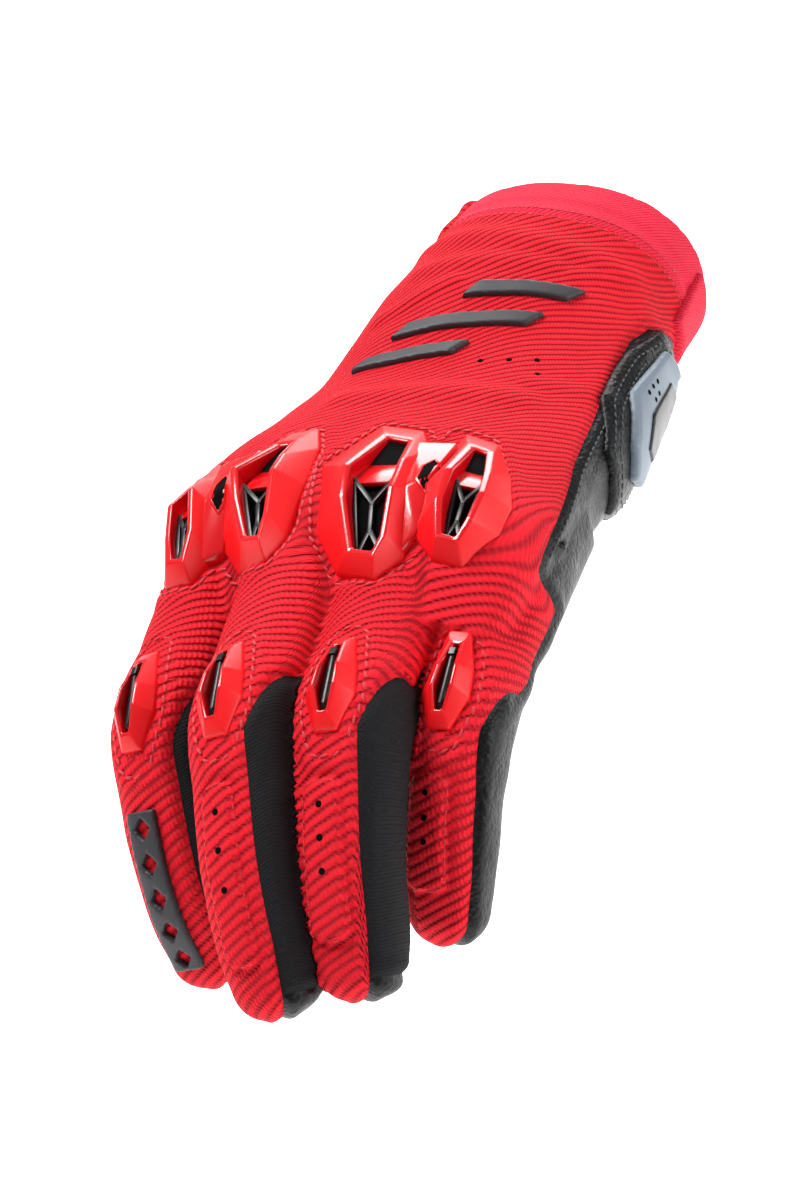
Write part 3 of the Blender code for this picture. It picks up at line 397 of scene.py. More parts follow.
class Limb:
    """A finger or the thumb: a rounded centre path with a section at every step of it."""

    def __init__(self, joints, side, table, tip):
        self.joints = [np.asarray(joint, float) for joint in joints]
        rounded = self.rounded(self.joints, JOINT_RADIUS)
        lengths = np.concatenate(([0.0], np.cumsum(np.linalg.norm(np.diff(rounded, axis=0), axis=1))))
        self.total = lengths[-1]
        self.s = np.arange(0.0, self.total, PATH_STEP)
        self.points = np.stack([np.interp(self.s, lengths, rounded[:, k]) for k in range(3)], 1)
        self.along = unit(np.gradient(self.points, axis=0))
        self.across = unit(side - self.along * (self.along @ side)[:, None])
        self.up = np.cross(self.along, self.across)
        nearest = [np.linalg.norm(rounded - joint, axis=1).argmin() for joint in self.joints[1:-1]]
        self.stations = [lengths[index] for index in nearest] + [self.total]
        rows = [(self.stations[joint] + past, *sizes) for joint, past, *sizes in table]
        keys = np.array([row[0] for row in rows])
        sizes = smooth_table(keys, np.array([row[1:] for row in rows]), self.s)
        rest = np.clip((self.s - (self.total - tip)) / tip, 0.0, 1.0)
        self.sizes = sizes * np.sqrt(np.maximum(1.0 - rest ** FINGER_POWER, 1e-4))[:, None]

    @staticmethod
    def rounded(points, radius, steps=9):
        """Polyline through the points with every corner rounded."""
        path = [points[0]]
        for before, corner, after in zip(points[:-2], points[1:-1], points[2:]):
            start = corner - unit(corner - before) * radius
            end = corner + unit(after - corner) * radius
            for t in np.linspace(0.0, 1.0, steps):
                path.append((1 - t) ** 2 * start + 2 * t * (1 - t) * corner + t * t * end)
        path.append(points[-1])
        return np.array(path)

    def frame(self, distance):
        """Point, across, along and up at one distance."""
        index = int(round(min(max(distance, 0.0), self.s[-1]) / PATH_STEP))
        return self.points[index], self.across[index], self.along[index], self.up[index]

    def coordinates(self, points):
        """Distance along, across and up of each point, and how far it is from the limb's surface."""
        step, batch = 2, 20000
        centres = self.points[::step]
        nearest = np.zeros(len(points), int)
        for start in range(0, len(points), batch):
            part = points[start:start + batch]
            gap = (centres ** 2).sum(1)[None, :] - 2.0 * part @ centres.T
            nearest[start:start + batch] = gap.argmin(1) * step
        offset = points - self.points[nearest]
        ahead = (offset * self.along[nearest]).sum(1)
        x = (offset * self.across[nearest]).sum(1)
        z = (offset * self.up[nearest]).sum(1)
        half, rise, drop = self.sizes[nearest].T
        height = np.where(z > 0.0, rise, drop)
        ratio = (np.abs(x / half) ** FINGER_POWER + np.abs(z / height) ** FINGER_POWER) ** (1 / FINGER_POWER)
        reach = np.hypot(x, z)
        away = np.abs(reach * (1.0 - 1.0 / np.maximum(ratio, 1e-6)))
        away += np.maximum(np.abs(ahead) - 1.0, 0.0)
        return self.s[nearest] + ahead, x, z, away

    def rings(self, count):
        """Rings of points along the limb."""
        rows = slice(0, None, 2)
        half, rise, drop = self.sizes[rows].T
        x, z = superellipse(half, rise, drop, np.full(len(half), FINGER_POWER), count)
        centre, across, up = self.points[rows], self.across[rows], self.up[rows]
        return centre[:, None] + x[..., None] * across[:, None] + z[..., None] * up[:, None]


def turn(axis, degrees):
    """Rotation matrix about one world axis."""
    return np.array(Matrix.Rotation(math.radians(degrees), 3, axis))


def finger_limb(name):
    """Centre path and sections of one finger."""
    x, y, z, flex, bend, spread, twist, one, two, three, scale = FINGERS[name]
    lean = turn("Z", spread) @ turn("Y", twist)
    base = np.array([x, y, z]) - ORIGIN

    def along(degrees):
        angle = math.radians(degrees)
        return lean @ np.array([0.0, -math.cos(angle), -math.sin(angle)])

    second = base + along(flex) * one
    third = second + along(flex + bend) * two
    tip = third + along(flex + 1.5 * bend) * three
    joints = [base - along(0.4 * flex) * 26.0, base, second, third, tip]
    table = [(joint, past, *(size * scale for size in sizes)) for joint, past, *sizes in FINGER_ROWS]
    return Limb(joints, lean @ np.array([1.0, 0.0, 0.0]), table, TIP)


def thumb_limb():
    """Centre path and sections of the thumb."""
    joints = [np.array(joint) - ORIGIN for joint in THUMB_JOINTS]
    length = Limb(joints, np.array(THUMB_SIDE), ((2, -40.0, 1.0, 1.0, 1.0), (2, 0.0, 1.0, 1.0, 1.0)), TIP)
    table = []
    for distance, half_width, half_height in THUMB_ROWS:
        past = distance if distance < 0.0 else distance - length.total
        table.append((2, past, half_width, half_height, half_height))
    return Limb(joints, np.array(THUMB_SIDE), table, TIP + 2.0)


LIMBS = {name: finger_limb(name) for name in FINGERS}
LIMBS["thumb"] = thumb_limb()
OWNERS = {name: number for number, name in enumerate(LIMBS, 1)}


# Skin of the whole hand

def edges_of(triangles):
    """Directed edges of the triangles."""
    return np.concatenate([triangles[:, [0, 1]], triangles[:, [1, 2]], triangles[:, [2, 0]]])


class Skin:
    """Triangles with values at their corners, which can be cut along any level of a value."""

    def __init__(self, vertices, triangles, values=None):
        self.vertices = vertices
        self.triangles = triangles
        self.values = values or {}

    def normals(self):
        """Smooth normals at the corners."""
        a, b, c = (self.vertices[self.triangles[:, k]] for k in range(3))
        flat = np.cross(b - a, c - a)
        total = np.zeros_like(self.vertices)
        for k in range(3):
            for axis in range(3):
                total[:, axis] += np.bincount(self.triangles[:, k], flat[:, axis], len(self.vertices))
        return unit(total)

    def relax(self, rounds, forward=0.5, back=-0.52):
        """Even out the surface without shrinking it."""
        start, end = edges_of(self.triangles).T
        size = len(self.vertices)
        count = np.bincount(start, minlength=size)[:, None]
        for share in (forward, back) * rounds:
            total = np.stack([np.bincount(start, self.vertices[end, k], size) for k in range(3)], 1)
            self.vertices = self.vertices + share * (total / count - self.vertices)

    def crossing(self, level_values):
        """Triangles that a level crosses, and where it crosses their edges."""
        sides = level_values > 0.0
        count = sides[self.triangles].sum(1)
        mixed = (count > 0) & (count < 3)
        work, count = self.triangles[mixed], count[mixed]
        odd_is_inside = (count == 1)[:, None]
        odd = (sides[work] == odd_is_inside).argmax(1)
        rows = np.arange(len(work))
        a, b, c = work[rows, odd], work[rows, (odd + 1) % 3], work[rows, (odd + 2) % 3]
        pairs = np.sort(np.concatenate([np.stack([a, b], 1), np.stack([a, c], 1)]), axis=1)
        edges, place = np.unique(pairs, axis=0, return_inverse=True)
        place = place.reshape(-1)
        low, high = level_values[edges[:, 0]], level_values[edges[:, 1]]
        share = np.clip(low / (low - high), 0.1, 0.9)[:, None]
        return mixed, (a, b, c), edges, share, place[:len(work)], place[len(work):]

    def between(self, array, edges, share):
        """Values on edges, read between their ends."""
        if array.ndim == 1:
            share = share[:, 0]
        return array[edges[:, 0]] * (1.0 - share) + array[edges[:, 1]] * share

    def cut(self, name, level=0.0):
        """Split the triangles along one level of a value."""
        values = self.values[name] - level
        mixed, (a, b, c), edges, share, ab, ac = self.crossing(values)
        first = len(self.vertices)
        self.vertices = np.concatenate([self.vertices, self.between(self.vertices, edges, share)])
        for key, array in self.values.items():
            added = self.between(array, edges, share)
            if key == name:
                added[:] = level
            self.values[key] = np.concatenate([array, added])
        ab, ac = ab + first, ac + first
        pieces = [np.stack([a, ab, ac], 1), np.stack([ab, b, c], 1), np.stack([ab, c, ac], 1)]
        self.triangles = np.concatenate([self.triangles[~mixed], *pieces])

    def part(self, keep):
        """The triangles that are kept, with only their own corners."""
        triangles = self.triangles[keep]
        used, place = np.unique(triangles, return_inverse=True)
        values = {key: array[used] for key, array in self.values.items()}
        return Skin(self.vertices[used], place.reshape(-1, 3), values)

    def middle(self, name):
        """Mean of a value over each triangle."""
        return self.values[name][self.triangles].mean(1)

    def contours(self, name, level):
        """Lines along one level of a value, as lists of points and normals."""
        values = self.values[name] - level
        _, _, edges, share, ab, ac = self.crossing(values)
        points = self.between(self.vertices, edges, share)
        normals = unit(self.between(self.values["normal"], edges, share))
        near = {}
        for one, other in zip(ab.tolist(), ac.tolist()):
            near.setdefault(one, []).append(other)
            near.setdefault(other, []).append(one)
        lines, seen = [], set()
        for start in sorted(near, key=lambda index: len(near[index])):
            if start in seen:
                continue
            line, here = [start], start
            seen.add(start)
            while True:
                onward = [index for index in near[here] if index not in seen]
                if not onward:
                    break
                here = onward[0]
                seen.add(here)
                line.append(here)
            if start in near[here] and len(line) > 2:
                line.append(start)
            lines.append((points[line], normals[line]))
        return lines


def loft_arrays(rings):
    """Vertices and triangles of a closed solid through the rings."""
    rows, count = rings.shape[:2]
    vertices = np.concatenate([rings.reshape(-1, 3), rings[0].mean(0)[None], rings[-1].mean(0)[None]])
    side = np.arange(count)
    after = (side + 1) % count
    triangles = []
    for row in range(rows - 1):
        a, b = row * count + side, row * count + after
        triangles.append(np.stack([a, b, b + count], 1))
        triangles.append(np.stack([a, b + count, a + count], 1))
    last = (rows - 1) * count
    triangles.append(np.stack([side, np.full(count, rows * count), after], 1))
    triangles.append(np.stack([last + side, last + after, np.full(count, rows * count + 1)], 1))
    return vertices, np.concatenate(triangles)


def mesh_from(name, vertices, faces):
    """Mesh in metres from points in millimetres."""
    mesh = bpy.data.meshes.new(name)
    mesh.from_pydata((np.asarray(vertices) * MM).tolist(), [], np.asarray(faces).tolist())
    return mesh


def linked(name, data):
    """Object in the scene, at the origin."""
    thing = bpy.data.objects.new(name, data)
    bpy.context.scene.collection.objects.link(thing)
    return thing


def applied(thing):
    """Mesh of an object with its modifiers applied, after which the object goes."""
    result = bpy.data.meshes.new_from_object(thing.evaluated_get(bpy.context.evaluated_depsgraph_get()))
    bpy.data.objects.remove(thing)
    return result


def skin_of_hand(voxel):
    """One closed smooth surface round the body, the fingers and the thumb."""
    levels = np.append(np.arange(BODY[0][0] + 6.0, BODY[-1][0], -1.5), BODY[-1][0])
    centre, across, _, up, rows = body_frames(levels)
    x, z = superellipse(rows[:, 2], rows[:, 3], rows[:, 4], rows[:, 7], 150)
    body = centre[:, None] + x[..., None] * across[:, None] + z[..., None] * up[:, None]
    solids = [loft_arrays(body)]
    solids += [loft_arrays(limb.rings(56)) for limb in LIMBS.values()]
    vertices, triangles, first = [], [], 0
    for points, faces in solids:
        a, b, c = (points[faces[:, k]] for k in range(3))
        volume = np.einsum("ij,ij->i", a, np.cross(b, c)).sum()
        triangles.append((faces if volume > 0 else faces[:, ::-1]) + first)
        vertices.append(points)
        first += len(points)
    mesh = mesh_from("skin", np.concatenate(vertices), np.concatenate(triangles))
    thing = linked("skin", mesh)
    remesh = thing.modifiers.new("remesh", "REMESH")
    remesh.mode = "VOXEL"
    remesh.voxel_size = voxel * MM
    shape = applied(thing)
    points = np.zeros(len(shape.vertices) * 3)
    shape.vertices.foreach_get("co", points)
    shape.calc_loop_triangles()
    faces = np.zeros(len(shape.loop_triangles) * 3, int)
    shape.loop_triangles.foreach_get("vertices", faces)
    skin = Skin(points.reshape(-1, 3) / MM, faces.reshape(-1, 3))
    skin.relax(8)
    return skin


def body_coordinates(points):
    """Hand y and section x and z of every point, found by stepping to its section."""
    level = points[:, 1] + ORIGIN[1]
    for _ in range(4):
        centre, across, along, up, rows = body_frames(level)
        offset = points - centre
        level = level + (offset * along).sum(1)
    return level, (offset * across).sum(1), (offset * up).sum(1), rows


def body_distance(x, z, rows):
    """How far points are from the body's surface."""
    height = np.where(z > 0.0, rows[:, 3], rows[:, 4])
    power = rows[:, 7]
    ratio = (np.abs(x / rows[:, 2]) ** power + np.abs(z / height) ** power) ** (1.0 / power)
    return np.abs(np.hypot(x, z) * (1.0 - 1.0 / np.maximum(ratio, 1e-6)))


def back_side(limb, seam, s, x, z):
    """Distance inside the back panel on one finger."""
    left, right, right_height = seam
    share = np.clip((s - limb.stations[1] + SEAM_TURN[0]) / SEAM_TURN[1], 0.0, 1.0)
    edge = ROOT_EDGE * (1.0 - share) + right * share
    height = SEAM_DEPTH * (1.0 - share) + right_height * share
    slope = (height - SEAM_DEPTH + 0.7) / (edge + 2.4)
    lower = np.where(x < -2.4, SEAM_DEPTH - 0.7, SEAM_DEPTH - 0.7 + (x + 2.4) * slope)
    fall = (z - lower) / np.sqrt(1.0 + np.where(x < -2.4, 0.0, slope) ** 2)
    return np.minimum(np.minimum(x - left, edge - x), fall)


def fold_height(x, y, side):
    """How far the folds lift the cloth of the body."""
    lift = np.zeros_like(x)
    for x0, y0, x1, y1, height, width, fold_side in FOLDS:
        run = np.array([x1 - x0, y1 - y0])
        share = np.clip(((x - x0) * run[0] + (y - y0) * run[1]) / (run @ run), 0.0, 1.0)
        away = np.hypot(x - x0 - share * run[0], y - y0 - share * run[1])
        bump = 0.5 + 0.5 * np.cos(math.pi * np.clip(away / width, 0.0, 1.0))
        lift = np.maximum(lift, np.where(side == fold_side, height * bump, 0.0))
    return lift


def knuckle_frame(finger):
    """Frame of the knuckle guards on one finger."""
    limb = LIMBS[finger]
    return limb.frame(limb.stations[0])


def flat_coordinates(points, frame_of):
    """Across and along of points in one frame, and their height."""
    centre, across, along, up = frame_of
    offset = points - centre
    return np.stack([offset @ across, offset @ along], 1), offset @ up


def flatten(frame_of, corners, other):
    """Corners given in one frame, written in another."""
    centre, across, along, _ = frame_of
    points = np.array([centre + across * a + along * b for a, b in corners])
    return flat_coordinates(points, other)[0]


def guard_distance(points, name, first, second):
    """Distance inside the outline of one knuckle guard."""
    home = knuckle_frame(first)
    flat, height = flat_coordinates(points, home)
    found = polygon_distance(flat, TURRETS[first][0])
    other = flatten(knuckle_frame(second), TURRETS[second][0], home)
    found = np.maximum(found, polygon_distance(flat, other))
    bridge = [flatten(knuckle_frame(finger), [(a, b)], home)[0] for finger, a, b, _ in BRIDGES[name]]
    found = np.maximum(found, polygon_distance(flat, bridge))
    return np.where(height > 0.0, found, OUTSIDE)


def rib_coordinates(settings, level, wrap, limbs, owner):
    """Place across and along the ribs of the cloth, in millimetres, blended from finger to finger."""
    slant_body, slant_finger = math.radians(settings.body_slant), math.radians(settings.finger_slant)
    wave = 0.9 * np.sin(wrap / 9.0 + level / 23.0) + 0.6 * np.sin(wrap / 5.0 - level / 17.0)
    across = -level * math.cos(slant_body) + wrap * math.sin(slant_body) + wave
    along = level * math.sin(slant_body) + wrap * math.cos(slant_body)
    reach = [np.maximum(np.hypot(limbs[name][1], np.maximum(-limbs[name][0], 0.0)), 1.0) for name in FINGERS]
    weights = np.stack(reach) ** -9.0
    weights = np.where(owner == OWNERS["thumb"], 0.0, weights / weights.sum(0))
    body_across, body_along = across, along
    for number, name in enumerate(FINGERS):
        limb = LIMBS[name]
        s, side, height, _ = limbs[name]
        sweep = np.arctan2(side, np.maximum(height, -6.0) + 9.0) * 15.0
        base = FINGERS[name]
        start = -(base[1] + 2.0) * math.cos(slant_body) + base[0] * math.sin(slant_body)
        on_finger = (s - limb.stations[0]) * math.cos(slant_finger) + sweep * math.sin(slant_finger) + start
        beside = sweep * math.cos(slant_finger) - (s - limb.stations[0]) * math.sin(slant_finger)
        share = weights[number] * smooth_step((s - limb.stations[0] + 16.0) / 28.0)
        across = across + (on_finger - body_across) * share
        along = along + (beside - body_along) * share
    return across, along


def roughness_of_form(points, scale, seed):
    """Slow random lift of each point, from -1 to 1."""
    shift = Vector((seed, seed * 1.7, seed * 0.3))
    return np.array([noise.noise(Vector(point) / scale + shift) for point in points])


STORE = {}


def panel_values(values, points, level, x, z, limbs, owner):
    """Values that the panels of cloth and leather are cut by."""
    seam = np.array(BODY_SEAM)
    left = np.interp(-level, -seam[:, 0], seam[:, 1]) - SEAM_CLEAR
    right = np.interp(-level, -seam[:, 0], seam[:, 2]) - SEAM_CLEAR
    start, end = SEAM_SPAN
    share = np.clip((x - start) / (end - start), 0.0, 1.0)
    low = left * (1.0 - share) + right * share
    low = np.where(x < start, left + (start - x) / SEAM_REACH[0] * SEAM_CLEAR, low)
    low = np.where(x > end, right + (x - end) / SEAM_REACH[1] * SEAM_CLEAR, low)
    back = np.minimum(z - low, level - seam[-1, 0])
    back = np.where(owner == OWNERS["thumb"], OFF_PANEL, back)
    for name in FINGERS:
        s, across, height, _ = limbs[name]
        own = back_side(LIMBS[name], FINGER_SEAM[name], s, across, height)
        own = np.minimum(own, s - LIMBS[name].stations[0] - 4.0)
        back = np.maximum(back, np.where((owner == OWNERS[name]) | (owner == 0), own, OFF_PANEL))
    values["back"] = back
    centre, _, along, _, _ = body_frames(np.array([BAND_LINE]))
    values["band"] = np.where(level > CUFF_LEVEL, (points - centre) @ along[0], OUTSIDE)
    values["rim"] = points @ body_frames(np.array([BODY[0][0]]))[2][0]
    s, _, height, _ = limbs["thumb"]
    own = np.minimum(height - 1.0, s - THUMB_LINE)
    values["thumb"] = np.where(owner == OWNERS["thumb"], own, OFF_PANEL)
    middle, below, tip = FOURCHETTE_EDGES
    for pair in PAIRS:
        value = np.full(len(points), OFF_PANEL)
        for name, start, facing in zip(pair, FOURCHETTE_STARTS, (1.0, -1.0)):
            s, across, height, _ = limbs[name]
            limb = LIMBS[name]
            inside = np.minimum(facing * across - middle, height + below)
            inside = np.minimum(inside, np.minimum(s - limb.stations[0] - start, limb.total - tip - s))
            own = (owner == OWNERS[name]) | (owner == 0)
            value = np.maximum(value, np.where(own, inside, OFF_PANEL))
        values["_".join(pair)] = value


def pad_values(values, hand, outward, section, level, limbs, owner):
    """Values of the bars, strip, patch, palm slider, strap and tab."""
    for number, (x, y, length, width, slant) in enumerate(BACK_BARS, 1):
        half, side = length / 2.0, width / 2.0
        outline = ((-half, -side), (half - width, -side), (half, side), (width - half, side))
        corners = np.array(outline) @ turn("Z", slant)[:2, :2].T + (x, y)
        found = polygon_distance(hand[:, :2], corners)
        values[f"bar_{number}"] = np.where(outward[:, 2] > 0.2, found, OUTSIDE)
    limb = LIMBS["index"]
    s, across, height, _ = limbs["index"]
    start, end = limb.stations[1] + STRIP_ENDS[0], limb.total - STRIP_ENDS[1]
    strip = np.minimum(np.minimum(across + 4.2, 3.4 - across), np.minimum(s - start, end - s))
    pitch = (end - start) / STRIP_WINDOWS
    for number in range(STRIP_WINDOWS):
        middle = start + pitch * (number + 0.5)
        lozenge = 1.0 - np.abs(across + 0.4) / 2.0 - np.abs(s - middle) / (0.34 * pitch)
        strip = np.minimum(strip, -lozenge * 1.6)
    values["strip"] = np.where((height > 2.0) & (owner == OWNERS["index"]), strip, OUTSIDE)
    on_side = (outward[:, 0] > 0.1) & (hand[:, 0] > 12.0) & (owner == 0)
    for name, outline in (("heel", HEEL_PATCH), ("pad", PALM_SLIDER), ("insert", PALM_INSERT)):
        values[name] = np.where(on_side, polygon_distance(hand[:, 1:], outline), OUTSIDE)
    x, z = section.T
    strap = np.minimum(polygon_distance(section, STRAP_SECTION), np.minimum(57.5 - level, level - 38.5))
    tab = np.minimum(np.minimum(-20.0 - x, 15.0 - z), np.minimum(z - 6.0, level - 50.0))
    values["strap"] = np.where(level > CUFF_LEVEL, strap, OUTSIDE)
    values["tab"] = np.where(level > CUFF_LEVEL, tab, OUTSIDE)


def guard_values(values, points, limbs, owner):
    """Values of the guards, their windows, the finger sliders and the raised finger panels."""
    for name, first, second in GUARDS:
        values[f"guard_{name}"] = guard_distance(points, name, first, second)
    for name in TURRETS:
        flat, high = flat_coordinates(points, knuckle_frame(name))
        rim = inset(TURRETS[name][1], GUARD_WALL - 0.4)
        values[f"window_{name}"] = np.where(high > 0.0, polygon_distance(flat, rim), OUTSIDE)
    for name in FINGERS:
        s, across, height, _ = limbs[name]
        limb = LIMBS[name]
        own = (height > 0.0) & (owner == OWNERS[name])
        flat = np.stack([across, s - limb.stations[1] + SLIDER_BACK], 1)
        foot = np.array(SLIDER_FOOT) * FINGERS[name][-1]
        values[f"slider_{name}"] = np.where(own, polygon_distance(flat, foot), OUTSIDE)
        if name not in FINGER_PANELS:
            continue
        start, end, centre, half = FINGER_PANELS[name]
        low, high = limb.stations[1] + start, limb.total - end
        dx = np.abs(across - centre) - half + PANEL_CORNER
        ds = np.abs(s - (low + high) / 2.0) - (high - low) / 2.0 + PANEL_CORNER
        outside = np.hypot(np.maximum(dx, 0.0), np.maximum(ds, 0.0)) + np.minimum(np.maximum(dx, ds), 0.0)
        values[f"panel_{name}"] = np.where(own, PANEL_CORNER - outside, OUTSIDE)


def build_skin(settings):
    """Skin with every value that panels, pads and stitches are cut by."""
    skin = skin_of_hand(settings.voxel)
    points, values = skin.vertices, skin.values
    level, x, z, rows = body_coordinates(points)
    limbs = {name: limb.coordinates(points) for name, limb in LIMBS.items()}
    gaps = [body_distance(x, z, rows) + np.maximum(BODY[-1][0] - level, 0.0)]
    gaps += [limbs[name][3] for name in LIMBS]
    owner = np.stack(gaps).argmin(0)
    outward = skin.normals()
    panel_values(values, points, level, x, z, limbs, owner)
    pad_values(values, points + ORIGIN, outward, np.stack([x, z], 1), level, limbs, owner)
    guard_values(values, points, limbs, owner)
    wrap = rows[:, 2] * np.arctan2(x / rows[:, 2], z / rows[:, 3])
    values["rib_u"], values["rib_v"] = rib_coordinates(settings, level, wrap, limbs, owner)
    values["level"] = level
    folds = np.where(owner == 0, fold_height(x, level, np.where(z > 0.0, 1, -1)), 0.0)
    slow = roughness_of_form(points * (1.0, 0.55, 1.0), settings.wrinkle_size, 3.0)
    fine = roughness_of_form(points * (1.0, 0.7, 1.0), settings.wrinkle_size * 0.45, 8.0)
    values["lift"] = folds + settings.wrinkle_height * (slow + 0.4 * fine)
    values["normal"] = outward
    STORE["skin"] = skin


def surface_tree():
    """Search tree of the skin, for points that are set on it."""
    if "tree" not in STORE:
        skin = STORE["skin"]
        lifted = skin.vertices + skin.values["normal"] * skin.values["lift"][:, None]
        STORE["tree"] = BVHTree.FromPolygons(lifted.tolist(), skin.triangles.tolist())
    return STORE["tree"]


def seat(frame_of, across, along, height):
    """Point at one height above the skin, seen along a frame's up direction."""
    centre, side, forward, up = frame_of
    start = centre + side * across + forward * along + up * RAY_START
    hit = surface_tree().ray_cast(Vector(start), Vector(-up))[0]
    surface = np.array(hit) if hit else start - up * 30.0
    return surface + up * height


def seat_ring(frame_of, corners, heights):
    """Points above the skin at every corner."""
    return np.array([seat(frame_of, *corner, height) for corner, height in zip(corners, heights)])


# Meshes and objects

def object_from(name, mesh, materials, replaced=()):
    """Object at the origin that rides on the body and stands for its nodes."""
    for entry in materials:
        mesh.materials.append(entry)
    thing = linked(name, mesh)
    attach(thing, ROOT)
    if replaced:
        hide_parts(*replaced)
    return thing


def smooth_shading(mesh, angle=40.0):
    """Smooth faces with sharp edges past one angle."""
    mesh.shade_smooth()
    mesh.set_sharp_from_angle(angle=math.radians(angle))


def shell(name, part, top, bottom, material, replaced=(), angle=50.0):
    """Closed piece of a skin part between two heights along its normals."""
    count = len(part.vertices)
    normal = part.values["normal"]
    points = np.concatenate([part.vertices + normal * top[:, None], part.vertices + normal * bottom[:, None]])
    triangles = part.triangles
    edges = edges_of(triangles)
    ordered = np.sort(edges, axis=1)
    _, first, number = np.unique(ordered, axis=0, return_index=True, return_counts=True)
    rim = edges[first[number == 1]]
    a, b = rim[:, 0], rim[:, 1]
    walls = np.concatenate([np.stack([b, a, a + count], 1), np.stack([b, a + count, b + count], 1)])
    faces = np.concatenate([triangles, triangles[:, ::-1] + count, walls])
    mesh = mesh_from(name, points, faces)
    weave = mesh.attributes.new("weave", "FLOAT_VECTOR", "POINT")
    stack = np.stack([part.values["rib_u"], part.values["rib_v"], np.zeros(count)], 1)
    weave.data.foreach_set("vector", np.concatenate([stack, stack]).ravel().astype(np.float32))
    smooth_shading(mesh, angle)
    return object_from(name, mesh, [material], replaced)


def rounded_edge(distance, radius):
    """0 at an edge, rising like a quarter circle to 1 at the radius."""
    t = 1.0 - np.clip(distance / radius, 0.0, 1.0)
    return np.sqrt(np.maximum(1.0 - t * t, 0.0))


def seam_profile(distance, depth, roll):
    """Valley at a turned seam, and the roll of cloth beside it."""
    valley = -depth * np.exp(-(distance / 0.8) ** 2)
    return valley + roll * np.exp(-((distance - 2.2) / 1.3) ** 2)


# Materials

def linear(code):
    """Linear colour from an sRGB hex code."""
    parts = [int(code[k:k + 2], 16) / 255.0 for k in (1, 3, 5)]
    turned = [part / 12.92 if part <= 0.04045 else ((part + 0.055) / 1.055) ** 2.4 for part in parts]
    return (*turned, 1.0)


def node(tree, kind, inputs=None, **settings):
    """Node with its settings; an input is a value or the socket that feeds it."""
    made = tree.nodes.new(kind)
    for key, value in settings.items():
        setattr(made, key, value)
    for key, value in (inputs or {}).items():
        if isinstance(value, bpy.types.NodeSocket):
            tree.links.new(value, made.inputs[key])
        else:
            made.inputs[key].default_value = value
    return made


def new_material(name):
    """Empty material with its output and Principled shader."""
    made = bpy.data.materials.new(name)
    made.use_nodes = True
    tree = made.node_tree
    tree.nodes.clear()
    shader = node(tree, "ShaderNodeBsdfPrincipled")
    output = node(tree, "ShaderNodeOutputMaterial")
    tree.links.new(shader.outputs[0], output.inputs[0])
    return made, tree, shader


def math_node(tree, operation, *values):
    """Output of one sum on sockets or numbers."""
    return node(tree, "ShaderNodeMath", dict(enumerate(values)), operation=operation).outputs[0]


def weave_sockets(tree):
    """Place across and along the ribs."""
    source = node(tree, "ShaderNodeAttribute", attribute_name="weave")
    parts = node(tree, "ShaderNodeSeparateXYZ", {0: source.outputs["Vector"]})
    return parts.outputs[0], parts.outputs[1]


def knit_height(tree, u, v, rib, stitch):
    """Ribs across u with a chevron knit along them: rib height and stitch height."""
    ridge = math_node(tree, "SINE", math_node(tree, "MULTIPLY", u, 2.0 * math.pi / rib))
    ridge = math_node(tree, "MULTIPLY_ADD", ridge, -0.5, 0.5)
    ridge = math_node(tree, "SUBTRACT", 1.0, math_node(tree, "POWER", ridge, 2.2))
    zigzag = math_node(tree, "PINGPONG", u, rib / 2.0)
    slanted = math_node(tree, "MULTIPLY_ADD", zigzag, 0.45, v)
    fine = math_node(tree, "SINE", math_node(tree, "MULTIPLY", slanted, 2.0 * math.pi / stitch))
    return ridge, math_node(tree, "MULTIPLY_ADD", fine, 0.5, 0.5)


def mix_colour(tree, factor, first, second):
    """Colour between two, which may be sockets."""
    made = node(tree, "ShaderNodeMix", data_type="RGBA")
    for index, value in ((0, factor), (6, first), (7, second)):
        if isinstance(value, bpy.types.NodeSocket):
            tree.links.new(value, made.inputs[index])
        else:
            made.inputs[index].default_value = value
    return made.outputs[2]


def bump(tree, height, distance, strength=1.0, normal=None):
    """Bump of a height socket, its distance in millimetres."""
    inputs = {"Height": height, "Distance": distance * MM, "Strength": strength}
    if normal is not None:
        inputs["Normal"] = normal
    return node(tree, "ShaderNodeBump", inputs).outputs[0]


def object_noise(tree, size):
    """Noise on object coordinates, its size in millimetres."""
    place = node(tree, "ShaderNodeTexCoord").outputs["Object"]
    inputs = {"Vector": place, "Scale": 1.0 / (size * MM), "Detail": 3.0, "Roughness": 0.55}
    return node(tree, "ShaderNodeTexNoise", inputs).outputs[0]


def cells(tree, size):
    """Distance inside random cells, their size in millimetres."""
    place = node(tree, "ShaderNodeTexCoord").outputs["Object"]
    return node(tree, "ShaderNodeTexVoronoi", {"Vector": place, "Scale": 1.0 / (size * MM)}).outputs[0]


